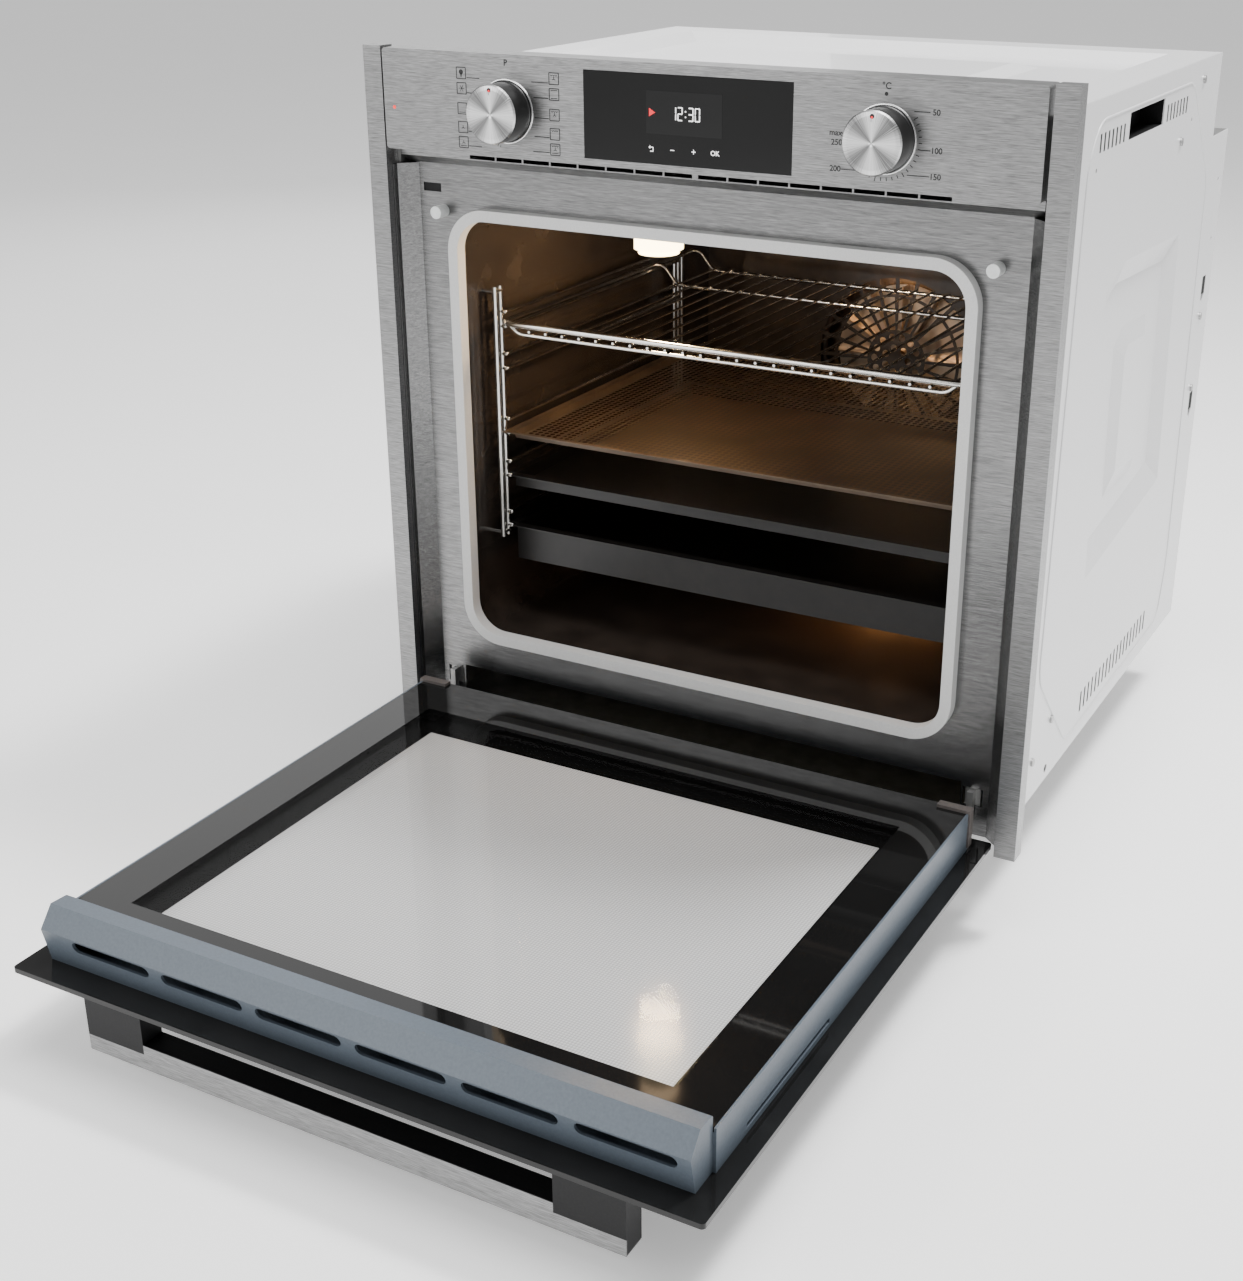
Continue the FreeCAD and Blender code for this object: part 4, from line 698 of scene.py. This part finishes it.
for knob, (x, z) in KNOBS.items():
    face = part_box(knob)[0][1] - PRINT_LIFT
    bm = bmesh.new()
    disc(bm, x, face, z + 0.0185, 0.0017)
    disc(bm, x, face - PRINT_LIFT, z + 0.0178, 0.0009, slot_index=1)
    finished_mesh(f"{knob}_pointer", bm, (black_ink, glowing_red_ink), knob)
    bm = bmesh.new()
    profile = [bm.verts.new((x + out, FASCIA_FACE - rise, z)) for out, rise in RING_PROFILE]
    edges = [bm.edges.new(pair) for pair in zip(profile, profile[1:])]
    bmesh.ops.spin(
        bm,
        geom=profile + edges,
        cent=(x, 0, z),
        axis=(0, 1, 0),
        angle=2 * math.pi,
        steps=64,
        use_merge=True,
    )
    bmesh.ops.recalc_face_normals(bm, faces=bm.faces)
    finished_mesh(f"{knob}_ring", bm, (bright_ring,), "oven")

# Dial markings: ink printed on the steel round each knob. The left one has ten small
# cooking symbols in two columns, each led to the dial by a line; the right one has degrees.


CAPITAL_SHARE = 0.72
BOLDNESS = 0.03


def words(name, text, x, z, height, material, face):
    """Printed lettering: a thin outline font, made a mesh, then stood up on the panel."""
    curve = bpy.data.curves.new(name, "FONT")
    curve.body = text
    curve.size = height / CAPITAL_SHARE
    curve.align_x = "CENTER"
    curve.align_y = "CENTER"
    curve.offset = height * BOLDNESS
    letter = bpy.data.objects.new(name, curve)
    mesh = bpy.data.meshes.new_from_object(letter)
    bpy.data.objects.remove(letter)
    mesh.transform(Matrix.Translation((x, face, z)) @ Matrix.Rotation(math.pi / 2, 4, "X"))
    mesh.materials.clear()
    mesh.materials.append(material)
    placed(name, mesh, "oven")


INK_FACE = FASCIA_FACE - PRINT_LIFT
LINE = 0.00075
FINE_LINE = 0.0006
BOX = 0.0086
ROWS = (0.5700, 0.5583, 0.5429, 0.5284, 0.5168)
LEFT_COLUMN = -0.2004
RIGHT_COLUMN = -0.1145


def symbol(bm, x, z, kind):
    """A framed cooking symbol: its frame, then a fan ring, heat lines or a grill line."""
    half = BOX / 2
    for x0, z0, x1, z1 in (
        (-half, -half, half, -half),
        (-half, half, half, half),
        (-half, -half, -half, half),
        (half, -half, half, half),
    ):
        bar(bm, x + x0, z + z0, x + x1, z + z1, LINE, INK_FACE)
    if "fan" in kind:
        hub = z - 0.0002
        hoop(bm, x, INK_FACE, hub, 0.0023, FINE_LINE)
        for turn in range(3):
            a = math.radians(90 + 120 * turn)
            tip_x, tip_z = x + 0.0017 * math.cos(a), hub + 0.0017 * math.sin(a)
            bar(bm, x, hub, tip_x, tip_z, FINE_LINE, INK_FACE)
    if "top" in kind:
        bar(bm, x - 0.0030, z + 0.0030, x + 0.0030, z + 0.0030, FINE_LINE, INK_FACE)
    if "floor" in kind:
        bar(bm, x - 0.0030, z - 0.0029, x + 0.0030, z - 0.0029, FINE_LINE, INK_FACE)
    if "grill" in kind:
        for k in range(3):
            peak = x - 0.0021 + 0.0021 * k
            bar(bm, peak - 0.0009, z + 0.0029, peak, z + 0.0019, 0.0005, INK_FACE)
            bar(bm, peak, z + 0.0019, peak + 0.0009, z + 0.0029, 0.0005, INK_FACE)
    if "frost" in kind:
        for turn in range(3):
            a = math.radians(60 * turn)
            dx, dz = 0.0027 * math.cos(a), 0.0027 * math.sin(a)
            bar(bm, x - dx, z - dz, x + dx, z + dz, 0.00045, INK_FACE)
    if "lamp" in kind:
        disc(bm, x, INK_FACE, z + 0.0008, 0.0020, 16)
        bar(bm, x, z - 0.0030, x, z, 0.0011, INK_FACE)


def tick(bm, x, z, degrees, inner, outer, width):
    """A short printed line that points away from the knob's centre."""
    dx, dz = math.cos(math.radians(degrees)), math.sin(math.radians(degrees))
    bar(bm, x + inner * dx, z + inner * dz, x + outer * dx, z + outer * dz, width, INK_FACE)


LEAD_INNER = 0.0262
LEAD_DROP = 0.0030
BOX_GAP = 0.0008
knob_x, knob_z = KNOBS["function_knob"]
bm = bmesh.new()
for z, kind in zip(ROWS, ("lamp", "frost", "floor", "fan", "fan floor")):
    symbol(bm, LEFT_COLUMN, z, kind)
for z, kind in zip(ROWS, ("fan grill", "top floor", "grill fan", "grill", "fan grill floor")):
    symbol(bm, RIGHT_COLUMN, z, kind)
for row, z in enumerate(ROWS):
    lead_z = z - LEAD_DROP + (row - 2) * 0.0002
    rise = (2 - row) * 0.0052
    foot = math.sqrt(LEAD_INNER**2 - rise**2)
    for column, way in ((LEFT_COLUMN, -1), (RIGHT_COLUMN, 1)):
        near = knob_x + way * foot
        far = column - way * (BOX / 2 + BOX_GAP)
        bar(bm, near, lead_z, far, lead_z, LINE, INK_FACE)
hoop(bm, knob_x, INK_FACE, knob_z + 0.0315, 0.0012, 0.0004, 20)
for k in range(6):
    tick(bm, knob_x, knob_z, 232 + 5 * k, 0.0268, 0.0285, FINE_LINE)
finished_mesh("function_markings", bm, (black_ink,), "oven")
words("function_zero", "P", knob_x + 0.0005, knob_z + 0.0365, 0.0048, black_ink, INK_FACE)

STEPS = 17
STEP_DEGREES = 9.0
FIRST_DEGREES = 34
DEGREES_INNER = 0.0300
DEGREES_GAP = 0.0045
DEGREES = {
    "50": (0.0385, 0.0205, 1),
    "100": (0.0400, -0.0055, 1),
    "150": (0.0400, -0.0234, 1),
    "200": (-0.0365, -0.0230, -1),
    "250": (-0.0360, -0.0045, -1),
    "max": (-0.0370, 0.0022, -1),
}
knob_x, knob_z = KNOBS["temperature_knob"]
bm = bmesh.new()
disc(bm, knob_x + 0.0006, INK_FACE, knob_z + 0.0312, 0.0014, 20)
for k in range(STEPS):
    reach = 0.0300 if k % 5 == 0 else 0.0290
    tick(bm, knob_x, knob_z, FIRST_DEGREES - k * STEP_DEGREES, 0.0265, reach, 0.0007)
for text, (dx, dz, way) in DEGREES.items():
    near = knob_x + way * math.sqrt(DEGREES_INNER**2 - dz**2)
    far = knob_x + dx - way * DEGREES_GAP
    bar(bm, near, knob_z + dz, far, knob_z + dz, LINE, INK_FACE)
    words(f"degrees_{text}", text, knob_x + dx, knob_z + dz, 0.0042, black_ink, INK_FACE)
finished_mesh("temperature_markings", bm, (black_ink,), "oven")
words("degrees_sign", "\u00b0C", knob_x + 0.0006, knob_z + 0.0365, 0.0046, black_ink, INK_FACE)

# Display: behind the black glass a darker window shows the clock in white segments and a
# red arrow; four touch keys are printed in white under it.
GLASS_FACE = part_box("display_glass")[0][1] - PRINT_LIFT
LIT_FACE = GLASS_FACE - PRINT_LIFT
window_black = mottled("display_window", (0.004, 0.004, 0.004), (0.006, 0.006, 0.006), 0.10, 40)
lit_white = glowing("lit_white", (1.0, 1.0, 1.0), 1.0)
SEGMENTS = {"0": "abcdef", "1": "bc", "2": "abged", "3": "abgcd"}
DIGIT_HEIGHT = 0.0092
DIGIT_WIDTH = 0.0036
STROKE = 0.0009
CLOCK_HEIGHT = 0.5504
WINDOW_HEIGHT = 0.0314

bm = bmesh.new()
bar(bm, -0.0333, CLOCK_HEIGHT, 0.0308, CLOCK_HEIGHT, WINDOW_HEIGHT, GLASS_FACE)
finished_mesh("display_window", bm, (window_black,), "oven")


def seven_segment(bm, x, z, digit):
    """One clock digit from straight bars, with x at its middle and z at its middle."""
    w, h, gap = DIGIT_WIDTH / 2, DIGIT_HEIGHT / 2, STROKE * 0.25
    ends = {
        "a": (-w, h, w, h),
        "g": (-w, 0, w, 0),
        "d": (-w, -h, w, -h),
        "b": (w, gap, w, h),
        "c": (w, -h, w, -gap),
        "f": (-w, gap, -w, h),
        "e": (-w, -h, -w, -gap),
    }
    for segment in SEGMENTS[digit]:
        x0, z0, x1, z1 = ends[segment]
        bar(bm, x + x0, z + z0, x + x1, z + z1, STROKE, LIT_FACE)


bm = bmesh.new()
for x, digit in ((-0.0098, "1"), (-0.0043, "2"), (0.0048, "3"), (0.0103, "0")):
    seven_segment(bm, x, CLOCK_HEIGHT, digit)
for z in (0.5484, 0.5524):
    disc(bm, 0.0003, LIT_FACE, z, 0.0006, 12)
finished_mesh("clock_digits", bm, (lit_white,), "oven")
bm = bmesh.new()
disc(bm, -0.0290, LIT_FACE, 0.5503, 0.0036, 3, turn=math.pi / 2)
finished_mesh("display_arrow", bm, (glowing_red_ink,), "oven")
bm = bmesh.new()
KEY_HEIGHT = 0.5235
for x0, z0, x1, z1 in (
    (-0.0126, 0, -0.0092, 0),
    (0.0055, 0, 0.0089, 0),
    (0.0072, -0.0017, 0.0072, 0.0017),
    (-0.0308, 0.0012, -0.0274, 0.0012),
    (-0.0308, 0.0012, -0.0298, 0.0022),
    (-0.0308, 0.0012, -0.0298, 0.0002),
    (-0.0274, 0.0012, -0.0274, -0.0018),
    (-0.0300, -0.0018, -0.0274, -0.0018),
):
    bar(bm, x0, KEY_HEIGHT + z0, x1, KEY_HEIGHT + z1, FINE_LINE, GLASS_FACE)
finished_mesh("touch_keys", bm, (lit_white,), "oven")
words("confirm_key", "OK", 0.0252, KEY_HEIGHT, 0.0036, lit_white, GLASS_FACE)

# Bead pressed in each side sheet: a narrow rounded line that follows the sheet's edge and
# stiffens it. It stands half a millimetre proud and is painted with the sheet.
BEAD = (
    (0.082, 0.520),
    (0.106, 0.549),
    (0.391, 0.549),
    (0.478, 0.453),
    (0.494, 0.072),
    (0.478, 0.016),
    (0.168, 0.014),
    (0.072, 0.110),
)
BEAD_FACE = 0.2788
BEAD_RADIUS = 0.0011
SIDES = ((-1, "left"), (1, "right"))
for side, label in SIDES:
    loop = [(side * BEAD_FACE, y, z) for y, z in BEAD]
    joint = tuple((a + b) / 2 for a, b in zip(loop[0], loop[-1]))
    run = [joint, *loop, joint]
    wires(f"side_bead_{label}", [run], BEAD_RADIUS, 0.016, "oven", casing_paint)

# Painted shade: thin black sheets behind the casing's rows of air slots, which swell into each
# slot, so that the slots look as black from outside as the shaded inside of the casing. The two
# clip slots at the back are backed too.
# Painted shade: plain flat black for the dark inside of the casing behind the slots.
baffle_felt = mottled("baffle_felt", (0.004, 0.004, 0.004), (0.009, 0.009, 0.009), 0.9, 900)
SLOT_ROWS = (
    (0.1080, 0.0106, 7, 0.0046, 0.5250, 0.5390),
    (0.3030, 0.0106, 7, 0.0046, 0.5250, 0.5390),
    (0.2090, 0.0118, 19, 0.0046, 0.0240, 0.0440),
    (0.5115, 0.0, 1, 0.0131, 0.3400, 0.3573),
    (0.5140, 0.0, 1, 0.0127, 0.2250, 0.2425),
)
SLOT_MARGIN = 0.0001
SHADE_SHEET_MIDDLE = 0.27830
SHADE_SHEET_THICKNESS = 0.0009
for side, label in SIDES:
    bm = bmesh.new()
    for start, pitch, count, width, z0, z1 in SLOT_ROWS:
        for k in range(count):
            made = bmesh.ops.create_cube(bm, size=1.0)
            middle = (side * SHADE_SHEET_MIDDLE, start + k * pitch + width / 2, (z0 + z1) / 2)
            size = (SHADE_SHEET_THICKNESS, width - 2 * SLOT_MARGIN, z1 - z0 - 2 * SLOT_MARGIN, 1)
            place = Matrix.Translation(middle) @ Matrix.Diagonal(size)
            bmesh.ops.transform(bm, matrix=place, verts=made["verts"])
    finished_mesh(f"baffle_{label}", bm, (baffle_felt,), "oven")

# Studio: a plain pale floor, soft light from above and from both sides, and warm lights
# in the cavity: one at its lamp, one over its floor and one before its back wall.
FLOOR_HEIGHT = -0.075
FLOOR_HALF = 45
floor_mesh = bpy.data.meshes.new("studio_floor")
bm = bmesh.new()
bmesh.ops.create_grid(bm, x_segments=1, y_segments=1, size=FLOOR_HALF)
bmesh.ops.translate(bm, verts=bm.verts, vec=(0, 0, FLOOR_HEIGHT))
bm.to_mesh(floor_mesh)
bm.free()
floor = bpy.data.objects.new("studio_floor", floor_mesh)
bpy.context.scene.collection.objects.link(floor)
floor_paint = mottled(
    "floor_paint", (0.93, 0.93, 0.93), (0.95, 0.95, 0.95), 0.8, 4, bump_strength=0.0
)
floor_inputs = floor_paint.node_tree.nodes["Principled BSDF"].inputs
floor_inputs["Emission Color"].default_value = (1, 1, 1, 1)
floor_inputs["Emission Strength"].default_value = 0.35
floor_mesh.materials.append(floor_paint)


def area_light(name, place, target, width, height, power):
    data = bpy.data.lights.new(name, "AREA")
    data.shape = "RECTANGLE"
    data.size = width
    data.size_y = height
    data.energy = power
    light = bpy.data.objects.new(name, data)
    light.location = place
    light.rotation_euler = (Vector(target) - Vector(place)).to_track_quat("-Z", "Y").to_euler()
    bpy.context.scene.collection.objects.link(light)


def point_light(name, place, power, colour, radius, mirrored):
    """A small warm light. One that isn't mirrored leaves no bright spot on the enamel."""
    data = bpy.data.lights.new(name, "POINT")
    data.energy = power
    data.color = colour
    data.shadow_soft_size = radius
    light = bpy.data.objects.new(name, data)
    light.location = place
    light.visible_glossy = mirrored
    bpy.context.scene.collection.objects.link(light)


area_light("overhead", (0.5, -0.3, 2.7), (0, 0, 0.2), 1.6, 1.6, 66)
area_light("front_fill", (-1.6, -2.6, 1.5), (0, 0, 0.2), 1.8, 2.0, 40)
area_light("right_side", (0.85, 0.75, 2.4), (0.28, 0.25, 0.3), 0.45, 0.45, 80)
area_light("rear_left", (-1.8, 2.2, 1.6), (0, 0, 0.3), 2.0, 2.0, 16)
point_light("floor_glow", (0.10, 0.20, 0.125), 0.7, (1.0, 0.52, 0.20), 0.03, False)
point_light("fan_glow", (0.0, 0.446, 0.335), 0.5, (1.0, 0.55, 0.22), 0.02, False)
point_light("cavity_lamp", (-0.088, 0.100, 0.410), 2.0, (1.0, 0.70, 0.42), 0.02, True)

world = bpy.data.worlds.new("studio_air")
bpy.context.scene.world = world
world.use_nodes = True
backdrop = world.node_tree.nodes["Background"]
backdrop.inputs["Color"].default_value = (1, 1, 1, 1)
backdrop.inputs["Strength"].default_value = 0.45

# Camera: standing in front of the oven to the right, looking slightly down.
TILT_DOWN = 23.167
TURN_LEFT = 28.548
camera_data = bpy.data.cameras.new("camera")
camera_data.lens = 51.03
camera_data.sensor_width = 36
camera_data.shift_x = -0.0331
camera_data.shift_y = -0.0074
camera_data.clip_end = 120
camera = bpy.data.objects.new("camera", camera_data)
camera.location = (0.65253, -1.25223, 0.72876)
camera.rotation_euler = (math.radians(90 - TILT_DOWN), 0, math.radians(TURN_LEFT))
bpy.context.scene.collection.objects.link(camera)
bpy.context.scene.camera = camera
